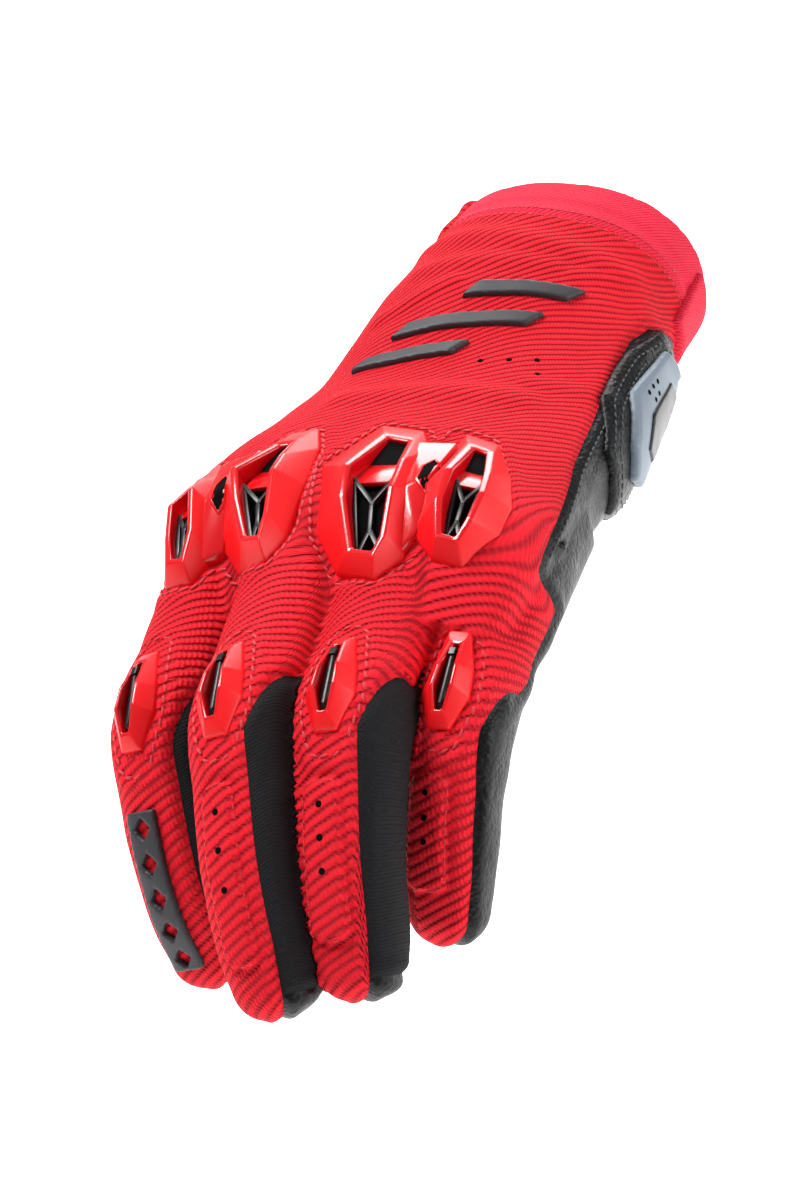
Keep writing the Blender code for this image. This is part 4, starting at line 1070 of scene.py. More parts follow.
def knit_material(name, ridge, valley, rib, stitch, rib_depth, stitch_depth, rough, sheen):
    """Knitted polyester: matt ribs that catch light on their crowns, soft fuzz at grazing angles, and painted
    shade, the colour running darker into the valleys between the ribs and the knit loops.
    """
    made, tree, shader = new_material(name)
    u, v = weave_sockets(tree)
    ribs, stitches = knit_height(tree, u, v, rib, stitch)
    # Painted shade: the colour runs from the crown colour to the darker valley colour down into the rib and
    # knit valleys.
    shade = math_node(tree, "MULTIPLY_ADD", stitches, 0.2, math_node(tree, "MULTIPLY", ribs, 0.8))
    colour = mix_colour(tree, shade, linear(valley), linear(ridge))
    patches = math_node(tree, "MULTIPLY_ADD", object_noise(tree, 9.0), 0.5, 0.05)
    colour = mix_colour(tree, patches, colour, mix_colour(tree, 0.25, colour, linear(valley)))
    lump = bump(tree, ribs, rib_depth)
    lump = bump(tree, stitches, stitch_depth, normal=lump)
    lump = bump(tree, object_noise(tree, 0.35), 0.06, normal=lump)
    tree.links.new(colour, shader.inputs["Base Color"])
    tree.links.new(lump, shader.inputs["Normal"])
    shader.inputs["Roughness"].default_value = rough
    shader.inputs["Specular IOR Level"].default_value = 0.25
    shader.inputs["Sheen Weight"].default_value = sheen
    shader.inputs["Sheen Roughness"].default_value = 0.4
    shader.inputs["Sheen Tint"].default_value = linear(ridge)
    return made


def leather_material(name, base, crown_highlight, grain):
    """Drummed goat leather: small pebbles with fine creases between them and a waxy gloss; the colour is
    painted lighter on the pebble crowns as painted highlight and darker in the creases as painted shade.
    """
    made, tree, shader = new_material(name)
    pebble = cells(tree, grain)
    crease = cells(tree, grain * 2.6)
    pores = object_noise(tree, grain * 0.4)
    height = math_node(tree, "MULTIPLY_ADD", pebble, -0.7, 0.7)
    # Painted highlight and shade: lighter colour on the pebble crowns, darker in the creases between them.
    colour = mix_colour(tree, height, linear(base), linear(crown_highlight))
    lump = bump(tree, height, 0.22)
    lump = bump(tree, math_node(tree, "MULTIPLY", crease, -1.0), 0.25, 0.7, lump)
    lump = bump(tree, pores, 0.05, 0.8, lump)
    rough = math_node(tree, "MULTIPLY_ADD", object_noise(tree, 5.0), 0.25, 0.28)
    tree.links.new(colour, shader.inputs["Base Color"])
    tree.links.new(lump, shader.inputs["Normal"])
    tree.links.new(rough, shader.inputs["Roughness"])
    shader.inputs["Specular IOR Level"].default_value = 0.24
    return made


def plastic_material(name, colour, rough, coat=0.0, ripple=0.0, edge=None, gleam=0.5):
    """Injection moulded plastic: even colour, a little waviness of the mould, soft wear."""
    made, tree, shader = new_material(name)
    base = linear(colour)
    worn = linear(edge or colour)
    spread = math_node(tree, "MULTIPLY_ADD", object_noise(tree, 12.0), 0.5, -0.05)
    tree.links.new(mix_colour(tree, spread, base, worn), shader.inputs["Base Color"])
    roughness = math_node(tree, "MULTIPLY_ADD", object_noise(tree, 3.0), 0.08, rough)
    tree.links.new(roughness, shader.inputs["Roughness"])
    lump = bump(tree, object_noise(tree, 0.5), 0.02 + ripple)
    tree.links.new(lump, shader.inputs["Normal"])
    shader.inputs["Specular IOR Level"].default_value = gleam
    shader.inputs["Coat Weight"].default_value = coat
    shader.inputs["Coat Roughness"].default_value = 0.06
    return made


def thread_material(name, colour):
    """Twisted polyester thread: two plies wound round each other, with a soft shine."""
    made, tree, shader = new_material(name)
    fuzz = object_noise(tree, 0.25)
    deep = tuple(part * 0.45 for part in linear(colour)[:3]) + (1.0,)
    tree.links.new(mix_colour(tree, fuzz, linear(colour), deep), shader.inputs["Base Color"])
    tree.links.new(bump(tree, fuzz, 0.05), shader.inputs["Normal"])
    shader.inputs["Roughness"].default_value = 0.6
    shader.inputs["Sheen Weight"].default_value = 0.2
    return made


def palette(settings):
    """Every material, made once."""
    if "palette" in STORE:
        return STORE["palette"]
    colours = {
        # Each knit's darker colour is painted shade in the valleys of its ribs and knit loops.
        "cloth": knit_material("Ribbed stretch cloth", settings.cloth_ridge, settings.cloth_valley_shade,
                               settings.rib_pitch, settings.stitch_pitch, 0.5, 0.13, 0.82, 0.25),
        "band": knit_material("Knitted elastic", settings.band_ridge, settings.band_valley_shade,
                              0.75, 0.75, 0.12, 0.08, 0.8, 0.3),
        "stretch": knit_material("Black stretch cloth", "#101014", "#060608",
                                 0.6, 0.6, 0.08, 0.06, 0.8, 0.04),
        # The leather's lighter colour is a painted highlight on the pebble crowns.
        "leather": leather_material("Drummed goat leather", "#040506", "#101216", 1.0),
        "shell": plastic_material("Moulded guard, satin faces", settings.guard_colour, 0.36,
                                  edge="#E01420", gleam=0.35),
        "gloss": plastic_material("Moulded guard, polished walls", "#D20814", 0.12, coat=0.3),
        "black": plastic_material("Black moulded insert", "#0E0E10", 0.30, edge="#1A1A1D", gleam=0.4),
        # Near-black painted shade for the turret windows, slot holes, vent holes and slider dots, where there
        # is only shade.
        "painted_shade_black": plastic_material("Black mesh lining", "#020202", 0.9, gleam=0.1),
        "rubber": plastic_material("Dark moulded rubber", "#2A292D", 0.5, ripple=0.02, edge="#37363B"),
        "grey": plastic_material("Grey moulded slider", "#6C7885", 0.45, ripple=0.02, edge="#7E8A97"),
        "red_thread": thread_material("Red thread", "#E4182C"),
        "black_thread": thread_material("Black thread", "#34363B"),
    }
    STORE["palette"] = colours
    return colours


# Panels of cloth and leather

PANEL_VALUES = ("band", "back", "thumb", "index_middle", "middle_ring", "ring_pinky")
PAD_HEIGHT = 1.2


def cut_panels():
    """Skin cut along every seam, with its labels and the distance to the nearest seam."""
    source = STORE["skin"]
    skin = Skin(source.vertices, source.triangles, dict(source.values))
    skin.cut("rim")
    skin = skin.part(skin.middle("rim") < 0.0)
    for name in PANEL_VALUES:
        skin.cut(name)
    return skin


def panel_masks(skin):
    """Which triangles belong to which panel."""
    inside = {name: skin.middle(name) > 0.0 for name in PANEL_VALUES}
    masks = {"band": inside["band"]}
    rest = ~inside["band"]
    for name in PANEL_VALUES[1:]:
        masks[name] = rest & inside[name]
        rest = rest & ~inside[name]
    masks["palm"] = rest
    return masks


def cloth_lift(part, distance):
    """Folds, seams and raised finger panels of one panel."""
    lift = part.values["lift"] * smooth_step(distance / 3.0) + seam_profile(distance, SEAM_VALLEY, SEAM_ROLL)
    for name in FINGER_PANELS:
        inside = part.values[f"panel_{name}"]
        lift += PAD_HEIGHT * smooth_step(inside) - 0.45 * np.exp(-((inside + 0.6) / 0.7) ** 2)
    rolls = [(f"guard_{name}", GUARD_ROLL) for name, _, _ in GUARDS]
    rolls += [(f"slider_{name}", SLIDER_ROLL) for name in FINGERS]
    for name, (height, away, spread) in rolls:
        lift += height * np.exp(-((-part.values[name] - away) / spread) ** 2)
    return lift


def seam_distance(part, names):
    """Distance to the nearest of some seams."""
    return np.minimum.reduce([np.abs(part.values[name]) for name in names])


def build_panels(settings):
    """Every panel of cloth and leather, each a closed wall."""
    skin = cut_panels()
    STORE["cut"] = skin
    masks = panel_masks(skin)
    colours = palette(settings)
    rows = [
        ("back_cloth", "back", ("back", "band"), "cloth", "red_cloth", "back_panel"),
        ("palm_leather", "palm", PANEL_VALUES, "leather", "black_leather", "palm_panel"),
        ("thumb_cloth", "thumb", ("thumb",), "cloth", "red_cloth", "thumb_back"),
    ]
    for pair in PAIRS:
        value = "_".join(pair)
        replaced = f"fourchette_{value}"
        rows.append((f"{replaced}_cloth", value, (value, "back"), "stretch", "black_cloth", replaced))
    rows.append(("band_knit", "band", ("band",), "band", "red_elastic", "cuff_band"))
    for name, mask, seams, colour, slot_name, replaced in rows:
        part = skin.part(masks[mask])
        distance = seam_distance(part, seams)
        top = cloth_lift(part, distance)
        bottom = np.full(len(top), -WALL)
        if mask == "band":
            hem = -part.values["rim"]
            top = part.values["lift"] * 0.5 * smooth_step(distance / 3.0) + seam_profile(distance, 0.5, 0.3)
            top += 0.35 * smooth_step((9.0 - hem) / 1.2) - 0.8 * (1.0 - rounded_edge(hem, 1.2))
        shell(name, part, top, bottom, colours[colour], (replaced,))


def pad(name, value, base, height, radius, wall, material, replaced):
    """Piece that lies on the skin where a value is above zero, with a rounded edge."""
    source = STORE["skin"]
    near = source.values[value][source.triangles].max(1) > -2.5
    skin = source.part(near)
    for level in (0.0, 0.3 * radius, radius):
        skin.cut(value, level)
    part = skin.part(skin.middle(value) > 0.0)
    distance = part.values[value]
    ground = base + part.values["lift"]
    top = ground + height * (wall + (1.0 - wall) * rounded_edge(distance, radius))
    return shell(name, part, top, ground - PAD_SINK, material, replaced, 60.0)


def build_pads(settings):
    """Leather patch, sliders, bars, strip, strap and tab that lie on the skin."""
    colours = palette(settings)
    for name, value, base, height, radius, wall, colour, slot_name, replaced in PADS:
        pad(name, value, base, height, radius, wall, colours[colour], (replaced,))


# Hard guards

def inset(corners, distance):
    """Flat outline with every side moved inwards."""
    points = np.asarray(corners, float)
    after = unit(np.roll(points, -1, axis=0) - points)
    inward = np.stack([-after[:, 1], after[:, 0]], 1)
    middle = points.mean(axis=0)
    inward *= np.sign(np.sum(inward * (middle - points), axis=1, keepdims=True))
    before = np.roll(inward, 1, axis=0)
    return points + distance * (inward + before) / (1.0 + np.sum(inward * before, axis=1, keepdims=True))


def ring_faces(first, second, count, material, faces, indices):
    """Quads between two rings of vertices, turned outwards later."""
    for side in range(count):
        beside = (side + 1) % count
        faces.append((first + side, first + beside, second + beside, second + side))
        indices.append(material)


def bevelled(name, points, faces, indices, width, segments, angle=10.0):
    """Mesh with its edges rounded."""
    mesh = bpy.data.meshes.new(name)
    mesh.from_pydata((np.asarray(points) * MM).tolist(), [], faces)
    mesh.polygons.foreach_set("material_index", indices)
    work = bmesh.new()
    work.from_mesh(mesh)
    bmesh.ops.recalc_face_normals(work, faces=work.faces[:])
    work.to_mesh(mesh)
    work.free()
    thing = linked(name, mesh)
    modifier = thing.modifiers.new("edges", "BEVEL")
    modifier.width = width * MM
    modifier.segments = segments
    modifier.limit_method = "ANGLE"
    modifier.angle_limit = math.radians(angle)
    modifier.harden_normals = False
    return applied(thing)


def joined(name, meshes):
    """One mesh from several."""
    work = bmesh.new()
    for mesh in meshes:
        work.from_mesh(mesh)
    result = bpy.data.meshes.new(name)
    work.to_mesh(result)
    work.free()
    return result


def hoop_mesh(name, rings, outer_rows, width, segments):
    """Ring-shaped solid through closed rings; the rows before outer_rows get the first material."""
    count = len(rings[0])
    points = np.concatenate(rings)
    faces, indices = [], []
    for row in range(len(rings)):
        after = (row + 1) % len(rings)
        ring_faces(row * count, after * count, count, 0 if row < outer_rows else 1, faces, indices)
    return bevelled(name, points, faces, indices, width, segments)


def hull_mesh(name, points, material, width, segments):
    """Bevelled convex solid round the points."""
    work = bmesh.new()
    for point in points:
        work.verts.new(tuple(map(float, point)))
    result = bmesh.ops.convex_hull(work, input=work.verts[:])
    loose = [item for item in result["geom_interior"] if isinstance(item, bmesh.types.BMVert)]
    bmesh.ops.delete(work, geom=loose, context="VERTS")
    bmesh.ops.dissolve_limit(work, angle_limit=math.radians(2.0), verts=work.verts[:], edges=work.edges[:])
    work.verts.index_update()
    corners = [tuple(vertex.co) for vertex in work.verts]
    faces = [tuple(vertex.index for vertex in face.verts) for face in work.faces]
    work.free()
    return bevelled(name, corners, faces, [material] * len(faces), width, segments)


def window_points(frame_of, finger, share, height, narrow):
    """Left and right points of a turret's window at one share of its length."""
    rim = inset(TURRETS[finger][1], GUARD_WALL + narrow)
    left = np.array([rim[0], rim[8], rim[7], rim[6]])
    right = np.array([rim[1], rim[3], rim[4], rim[5]])
    along = rim[:2, 1].mean() * (1.0 - share) + rim[5:7, 1].mean() * share
    return [seat(frame_of, np.interp(along, side[:, 1], side[:, 0]), along, height) for side in (left, right)]


def turret_mesh(finger):
    """Shell of one turret with its open window and sloping flap."""
    foot, rim = TURRETS[finger]
    frame_of = knuckle_frame(finger)
    inner = inset(rim, GUARD_WALL)
    low, high = GUARD_FOOT
    rings = (
        seat_ring(frame_of, foot, [low] * len(foot)),
        seat_ring(frame_of, foot, [high] * len(foot)),
        seat_ring(frame_of, rim, RIM_HEIGHTS),
        seat_ring(frame_of, inner, np.array(RIM_HEIGHTS) - 0.2),
        seat_ring(frame_of, inner, [low] * len(foot)),
    )
    shell_mesh = hoop_mesh(f"turret_{finger}", rings, 2, 0.45, 3)
    up = frame_of[3]
    points = []
    for share, height in FLAP_ENDS:
        for point in window_points(frame_of, finger, share, height, -0.5):
            points += [point, point - up * 1.2]
    return [shell_mesh, hull_mesh(f"flap_{finger}", points, 1, 0.25, 2)]


def build_guards(settings):
    """Two knuckle guards, each with two turrets, a bridge and the collar of its slot."""
    colours = palette(settings)
    for name, first, second in GUARDS:
        meshes = turret_mesh(first) + turret_mesh(second)
        points = []
        for finger, across, along, height in BRIDGES[name]:
            frame_of = knuckle_frame(finger)
            points.append(seat(frame_of, across, along, height))
            points.append(seat(frame_of, across, along, -1.0))
        bridge = hull_mesh(f"bridge_{name}", points, 1, 0.7, 3)
        meshes.append(bridge)
        result = joined(f"guard_{name}", meshes)
        smooth_shading(result, 32.0)
        object_from(f"guard_{name}", result, [colours["shell"], colours["gloss"]],
                    (f"knuckle_guard_{name}",))
        build_slot(settings, name, bridge)


def build_slot(settings, name, bridge):
    """Raised collar in a bridge, with a near-black plate in its hexagonal hole as painted shade."""
    finger, across, along, half_length, half_width = SLOTS[name]
    frame_of = knuckle_frame(finger)
    centre, side, forward, up = frame_of
    points = np.zeros(len(bridge.vertices) * 3)
    bridge.vertices.foreach_get("co", points)
    faces = [tuple(polygon.vertices) for polygon in bridge.polygons]
    tree = BVHTree.FromPolygons((points.reshape(-1, 3) / MM).tolist(), faces)

    def place(a, b, height):
        start = centre + side * a + forward * b + up * RAY_START
        hit = tree.ray_cast(Vector(start), Vector(-up))[0]
        ground = np.array(hit) if hit else seat(frame_of, a, b, 2.0)
        return ground + up * height

    def ring(grow, height, shrink=1.0):
        tall, wide = (half_length + grow) * shrink, (half_width + grow) * shrink
        hexagon = np.array(((0.0, -tall), (wide, -tall * 0.5), (wide, tall * 0.5), (0.0, tall),
                            (-wide, tall * 0.5), (-wide, -tall * 0.5)))
        between = (hexagon + np.roll(hexagon, -1, axis=0)) / 2.0
        outline = np.stack([hexagon, between], 1).reshape(-1, 2)
        return np.array([place(across + a, along + b, height) for a, b in outline])

    colours = palette(settings)
    rings = [ring(0.8, -0.5), ring(0.8, 0.25), ring(0.05, 0.5), ring(0.05, -0.5)]
    collar = hoop_mesh(f"collar_{name}", rings, 4, 0.15, 2)
    smooth_shading(collar, 32.0)
    object_from(f"slot_collar_{name}", collar, [colours["gloss"]])
    # Near-black plate in the hole as painted shade.
    plate = [ring(0.2, 0.12), ring(0.2, 0.12, 0.66), ring(0.2, 0.12, 0.33)]
    points = np.concatenate([*plate, place(across, along, 0.12)[None]])
    faces = []
    for row in range(2):
        ring_faces(row * 12, row * 12 + 12, 12, 0, faces, [])
    faces += [(24 + k, 24 + (k + 1) % 12, 36) for k in range(12)]
    below = points - up * 0.4
    faces += [tuple(37 + index for index in reversed(face)) for face in faces]
    faces += [((k + 1) % 12, k, 37 + k, 37 + (k + 1) % 12) for k in range(12)]
    hole = bevelled(f"hole_{name}", np.concatenate([points, below]), faces, [0] * len(faces), 0.01, 1, 80.0)
    object_from(f"slot_hole_{name}", hole, [colours["painted_shade_black"]])


def bar_mesh(name, start, end, width, depth, up):
    """Rounded straight bar between two points."""
    along = unit(end - start)
    side = unit(np.cross(along, up))
    height = np.cross(side, along)
    points = []
    for place in (start - along * width * 0.3, end + along * width * 0.3):
        for a, b in ((-1, -1), (1, -1), (0.6, 1), (-0.6, 1)):
            points.append(place + side * a * width / 2.0 + height * b * depth / 2.0)
    return hull_mesh(name, points, 0, 0.12, 2)


def build_grilles(settings):
    """Forked grille in every turret's window, with a near-black sheet under it as painted shade."""
    colours = palette(settings)
    for finger in TURRETS:
        frame_of = knuckle_frame(finger)
        up = frame_of[3]
        a, b = window_points(frame_of, finger, 0.46, 2.3, 0.1)
        d, c = window_points(frame_of, finger, 0.98, 1.6, 0.1)
        upper = (a + b) / 2.0 * 0.66 + (c + d) / 2.0 * 0.34 + up * 0.3
        lower = (a + b) / 2.0 * 0.30 + (c + d) / 2.0 * 0.70 + up * 0.3
        runs = ((a, upper), (b, upper), (upper, lower), (lower, c), (lower, d), (a, d), (b, c), (d, c))
        width = settings.rod_width
        bars = [bar_mesh(f"rod_{number}", *run, width, width * 1.2, up) for number, run in enumerate(runs)]
        result = joined(f"grille_{finger}", bars)
        smooth_shading(result, 35.0)
        object_from(f"grille_{finger}", result, [colours["black"]],
                    (f"knuckle_grille_{finger}",))
        # Near-black sheet in the window as painted shade under the grille.
        pad(f"window_lining_{finger}", f"window_{finger}", 0.5, 0.4, 0.3, 0.9, colours["painted_shade_black"],
            ())


def build_sliders(settings):
    """Hard slider over every finger's middle joint, with its black insert."""
    colours = palette(settings)
    for finger in FINGERS:
        limb = LIMBS[finger]
        centre, across, along, up = limb.frame(limb.stations[1])
        frame_of = (centre - along * SLIDER_BACK, across, along, up)
        scale = FINGERS[finger][-1]
        foot, rim = np.array(SLIDER_FOOT) * scale, np.array(SLIDER_RIM) * scale
        inner = inset(rim, SLIDER_WALL)
        low, high = SLIDER_EDGE
        rings = (
            seat_ring(frame_of, foot, [low] * len(foot)),
            seat_ring(frame_of, foot, [high] * len(foot)),
            seat_ring(frame_of, rim, SLIDER_HEIGHTS),
            seat_ring(frame_of, inner, np.array(SLIDER_HEIGHTS) - 0.1),
            seat_ring(frame_of, inner, [low] * len(foot)),
        )
        result = hoop_mesh(f"slider_{finger}", rings, 2, 0.35, 3)
        smooth_shading(result, 32.0)
        object_from(f"slider_{finger}", result, [colours["shell"], colours["gloss"]],
                    (f"finger_slider_{finger}",))
        core = inset(rim, SLIDER_WALL + 0.1)
        spine = ((-0.35, -6.0), (0.35, -6.0), (0.35, 6.4), (-0.35, 6.4))
        points = np.concatenate([
            seat_ring(frame_of, core, [low] * len(core)),
            seat_ring(frame_of, core, [0.9] * len(core)),
            seat_ring(frame_of, np.array(spine) * scale, [2.7, 2.7, 2.3, 2.3]),
        ])
        insert = hull_mesh(f"insert_{finger}", points, 0, 0.15, 2)
        smooth_shading(insert, 30.0)
        object_from(f"insert_{finger}", insert, [colours["black"]],
                    (f"slider_insert_{finger}",))
        peg = []
        for height in (1.6, 3.1):
            square = np.array(((-0.75, -7.6), (0.75, -7.6), (0.75, -5.6), (-0.75, -5.6))) * scale
            peg.append(seat_ring(frame_of, square, [height] * 4))
        stud = hull_mesh(f"stud_{finger}", np.concatenate(peg), 0, 0.15, 2)
        object_from(f"insert_stud_{finger}", stud, [colours["black"]])


# Stitches and holes

def set_input(modifier, group, name, value):
    """Value of one named input of a node group on a modifier."""
    for item in group.interface.items_tree:
        if item.item_type == "SOCKET" and item.in_out == "INPUT" and item.name == name:
            modifier[item.identifier] = value
            return
    raise RuntimeError(f"the node group has no input named {name}")


def stitch_tree():
    """Node group that lays stitches along lines on a surface."""
    if "Stitches" in bpy.data.node_groups:
        return bpy.data.node_groups["Stitches"]
    group = bpy.data.node_groups.new("Stitches", "GeometryNodeTree")
    face = group.interface
    face.new_socket("Geometry", in_out="INPUT", socket_type="NodeSocketGeometry")
    for name in ("Pitch", "Length", "Width", "Rise", "Slant"):
        face.new_socket(name, in_out="INPUT", socket_type="NodeSocketFloat")
    face.new_socket("Material", in_out="INPUT", socket_type="NodeSocketMaterial")
    face.new_socket("Geometry", in_out="OUTPUT", socket_type="NodeSocketGeometry")
    start = node(group, "NodeGroupInput")
    inputs = start.outputs
    curve = node(group, "GeometryNodeMeshToCurve", {0: inputs["Geometry"]})
    spaced = node(group, "GeometryNodeResampleCurve", {"Curve": curve.outputs[0], "Length": inputs["Pitch"]},
                  mode="LENGTH")
    ball = node(group, "GeometryNodeMeshUVSphere", {"Segments": 8, "Rings": 6, "Radius": 0.5})
    size = node(group, "ShaderNodeCombineXYZ", {0: inputs["Length"], 1: inputs["Width"], 2: inputs["Rise"]})
    bead = node(group, "GeometryNodeTransform", {"Geometry": ball.outputs[0], "Scale": size.outputs[0]})
    facing = node(group, "GeometryNodeInputNamedAttribute", {"Name": "facing"}, data_type="FLOAT_VECTOR")
    upright = node(group, "FunctionNodeAlignRotationToVector", {"Vector": facing.outputs[0]}, axis="Z")
    tangent = node(group, "GeometryNodeInputTangent")
    aimed = node(group, "FunctionNodeAlignRotationToVector",
                 {"Rotation": upright.outputs[0], "Vector": tangent.outputs[0]}, axis="X", pivot_axis="Z")
    spin = node(group, "ShaderNodeCombineXYZ", {2: inputs["Slant"]})
    lean = node(group, "FunctionNodeEulerToRotation", {0: spin.outputs[0]})
    turned = node(group, "FunctionNodeRotateRotation",
                  {"Rotation": aimed.outputs[0], "Rotate By": lean.outputs[0]}, rotation_space="LOCAL")
    placed = node(group, "GeometryNodeInstanceOnPoints",
                  {"Points": spaced.outputs[0], "Instance": bead.outputs[0], "Rotation": turned.outputs[0]})
    real = node(group, "GeometryNodeRealizeInstances", {0: placed.outputs[0]})
    smooth = node(group, "GeometryNodeSetShadeSmooth", {0: real.outputs[0]})
    dressed = node(group, "GeometryNodeSetMaterial", {0: smooth.outputs[0], "Material": inputs["Material"]})
    node(group, "NodeGroupOutput", {0: dressed.outputs[0]})
    return group


def resample(points, normals, step):
    """Line read at even steps, slightly smoothed."""
    lengths = np.concatenate(([0.0], np.cumsum(np.linalg.norm(np.diff(points, axis=0), axis=1))))
    if lengths[-1] < step * 3.0:
        return None
    at = np.linspace(0.0, lengths[-1], max(int(lengths[-1] / step), 3))
    line = np.stack([np.interp(at, lengths, points[:, k]) for k in range(3)], 1)
    face = unit(np.stack([np.interp(at, lengths, normals[:, k]) for k in range(3)], 1))
    for _ in range(3):
        line[1:-1] = (line[:-2] + 2.0 * line[1:-1] + line[2:]) / 4.0
    return line, face


def stitches(name, lines, pitch, length, width, rise, slant, material, slot_name):
    """Piece of stitches along lines of points and normals, in millimetres."""
    points, facing, edges = [], [], []
    for line, normals in lines:
        read = resample(line, normals, 0.9)
        if read is None:
            continue
        first = len(points)
        points += read[0].tolist()
        facing += read[1].tolist()
        edges += [(first + k, first + k + 1) for k in range(len(read[0]) - 1)]
    if not points:
        raise RuntimeError(f"no line was found for {name}")
    mesh = bpy.data.meshes.new(name)
    mesh.from_pydata((np.array(points) * MM).tolist(), edges, [])
    facing_data = mesh.attributes.new("facing", "FLOAT_VECTOR", "POINT")
    facing_data.data.foreach_set("vector", np.array(facing, np.float32).ravel())
    guide = linked(name + "_guide", mesh)
    group = stitch_tree()
    modifier = guide.modifiers.new("stitches", "NODES")
    modifier.node_group = group
    sizes = {"Pitch": pitch * MM, "Length": length * MM, "Width": width * MM, "Rise": rise * MM}
    for key, value in sizes.items():
        set_input(modifier, group, key, value)
    set_input(modifier, group, "Slant", math.radians(slant))
    set_input(modifier, group, "Material", material)
    result = applied(guide)
    result.name = name
    object_from(name, result, ())


def lifted(lines, height):
    """Lines moved out along their normals."""
    return [(points + normals * height, normals) for points, normals in lines]


def surface_lines(value, level, height, keep=None):
    """Lines on the lifted cloth along one level of a value."""
    part = STORE["top"]
    if keep is not None:
        part = part.part(keep(part))
    return lifted(part.contours(value, level), height)


def prepare_top():
    """Outer face of the cloth as it is built, for lines that lie on it."""
    skin = STORE["cut"]
    distance = seam_distance(skin, PANEL_VALUES)
    lift = cloth_lift(skin, distance)
    top = Skin(skin.vertices + skin.values["normal"] * lift[:, None], skin.triangles, dict(skin.values))
    STORE["top"] = top


def build_stitches(settings):
    """Rows of stitches round the guards, the panels and the leather."""
    prepare_top()
    colours = palette(settings)
    red, black = colours["red_thread"], colours["black_thread"]
    pitch = settings.thread_pitch
    guard_lines, slider_lines, panel_lines = [], [], []
    for name, _, _ in GUARDS:
        guard_lines += surface_lines(f"guard_{name}", -1.5, 0.12)
    for name in FINGERS:
        slider_lines += surface_lines(f"slider_{name}", -1.4, 0.1)
    for name in FINGER_PANELS:
        panel_lines += surface_lines(f"panel_{name}", 0.3, 0.08)
    stitches("guard_stitches", guard_lines, pitch, *GUARD_THREAD, red, "red_cloth")
    stitches("slider_stitches", slider_lines, pitch, *SLIDER_THREAD, red, "red_cloth")
    stitches("panel_stitches", panel_lines, 2.0, *PANEL_THREAD, red, "red_cloth")

    def on_palm(part):
        return (part.middle("back") < -0.2) & (part.middle("band") < -2.0) & (part.middle("level") > -70.0)

    leather_lines = surface_lines("back", -2.0, 0.08, on_palm)
    leather_lines += surface_lines("heel", 2.0, 1.55) + surface_lines("heel", 3.9, 1.75)
    stitches("leather_stitches", leather_lines, 2.3, *LEATHER_THREAD, black, "black_leather")
    band_lines = surface_lines("band", 1.6, 0.1) + surface_lines("band", -1.6, 0.1)
    stitches("band_stitches", band_lines, 2.0, *BAND_THREAD, red, "red_elastic")
    build_holes(settings)


def build_holes(settings):
    """Vent holes as near-black dimples with a soft rim, painted shade in the holes, and the dots of the grey
    slider in the same painted shade.
    """
    colours = palette(settings)
    places = []
    for name, (start, end, centre, _) in FINGER_PANELS.items():
        limb = LIMBS[name]
        low, high = limb.stations[1] + start, limb.total - end
        for share in PANEL_HOLES:
            frame_of = limb.frame(low + (high - low) * share)
            places.append((seat(frame_of, centre, 0.0, PAD_HEIGHT), frame_of[3]))
    for x, y in BACK_HOLES:
        start = np.array([x, y, 70.0]) - ORIGIN
        hit, normal = surface_tree().ray_cast(Vector(start), Vector((0, 0, -1)))[:2]
        places.append((np.array(hit), np.array(normal)))
    # Near-black domes as painted shade in the vent holes and the slider's dots.
    dots("vent_holes", places, settings.hole_size, colours["painted_shade_black"])
    marks = []
    for y, z in SLIDER_DOTS:
        start = np.array([90.0, y, z]) - ORIGIN
        hit, normal = surface_tree().ray_cast(Vector(start), Vector((-1, 0, 0)))[:2]
        marks.append((np.array(hit) + np.array(normal) * 3.75, np.array(normal)))
    dots("slider_dots", marks, 1.3, colours["painted_shade_black"])


def dots(name, places, size, material):
    """Small flat domes at places with their normals."""
    work = bmesh.new()
    for point, normal in places:
        lean = Vector(normal).to_track_quat("Z", "Y").to_matrix().to_4x4()
        place = Matrix.Translation(Vector(point * MM)) @ lean @ Matrix.Diagonal((1.0, 1.0, 0.22, 1.0))
        bmesh.ops.create_uvsphere(work, u_segments=16, v_segments=8, radius=size / 2.0 * MM, matrix=place)
    mesh = bpy.data.meshes.new(name)
    work.to_mesh(mesh)
    work.free()
    mesh.shade_smooth()
    object_from(name, mesh, [material])


# Stage

def camera_axes():
    """Direction to the camera, its right and its up."""
    azimuth, elevation = math.radians(CAMERA_AZIMUTH), math.radians(CAMERA_ELEVATION)
    roll = math.radians(CAMERA_ROLL)
    back = np.array([math.sin(azimuth) * math.cos(elevation), -math.cos(azimuth) * math.cos(elevation),
                     math.sin(elevation)])
    level = np.array([math.cos(azimuth), math.sin(azimuth), 0.0])
    rise = np.cross(back, level)
    right = math.cos(roll) * level + math.sin(roll) * rise
    up = -math.sin(roll) * level + math.cos(roll) * rise
    return back, right, up


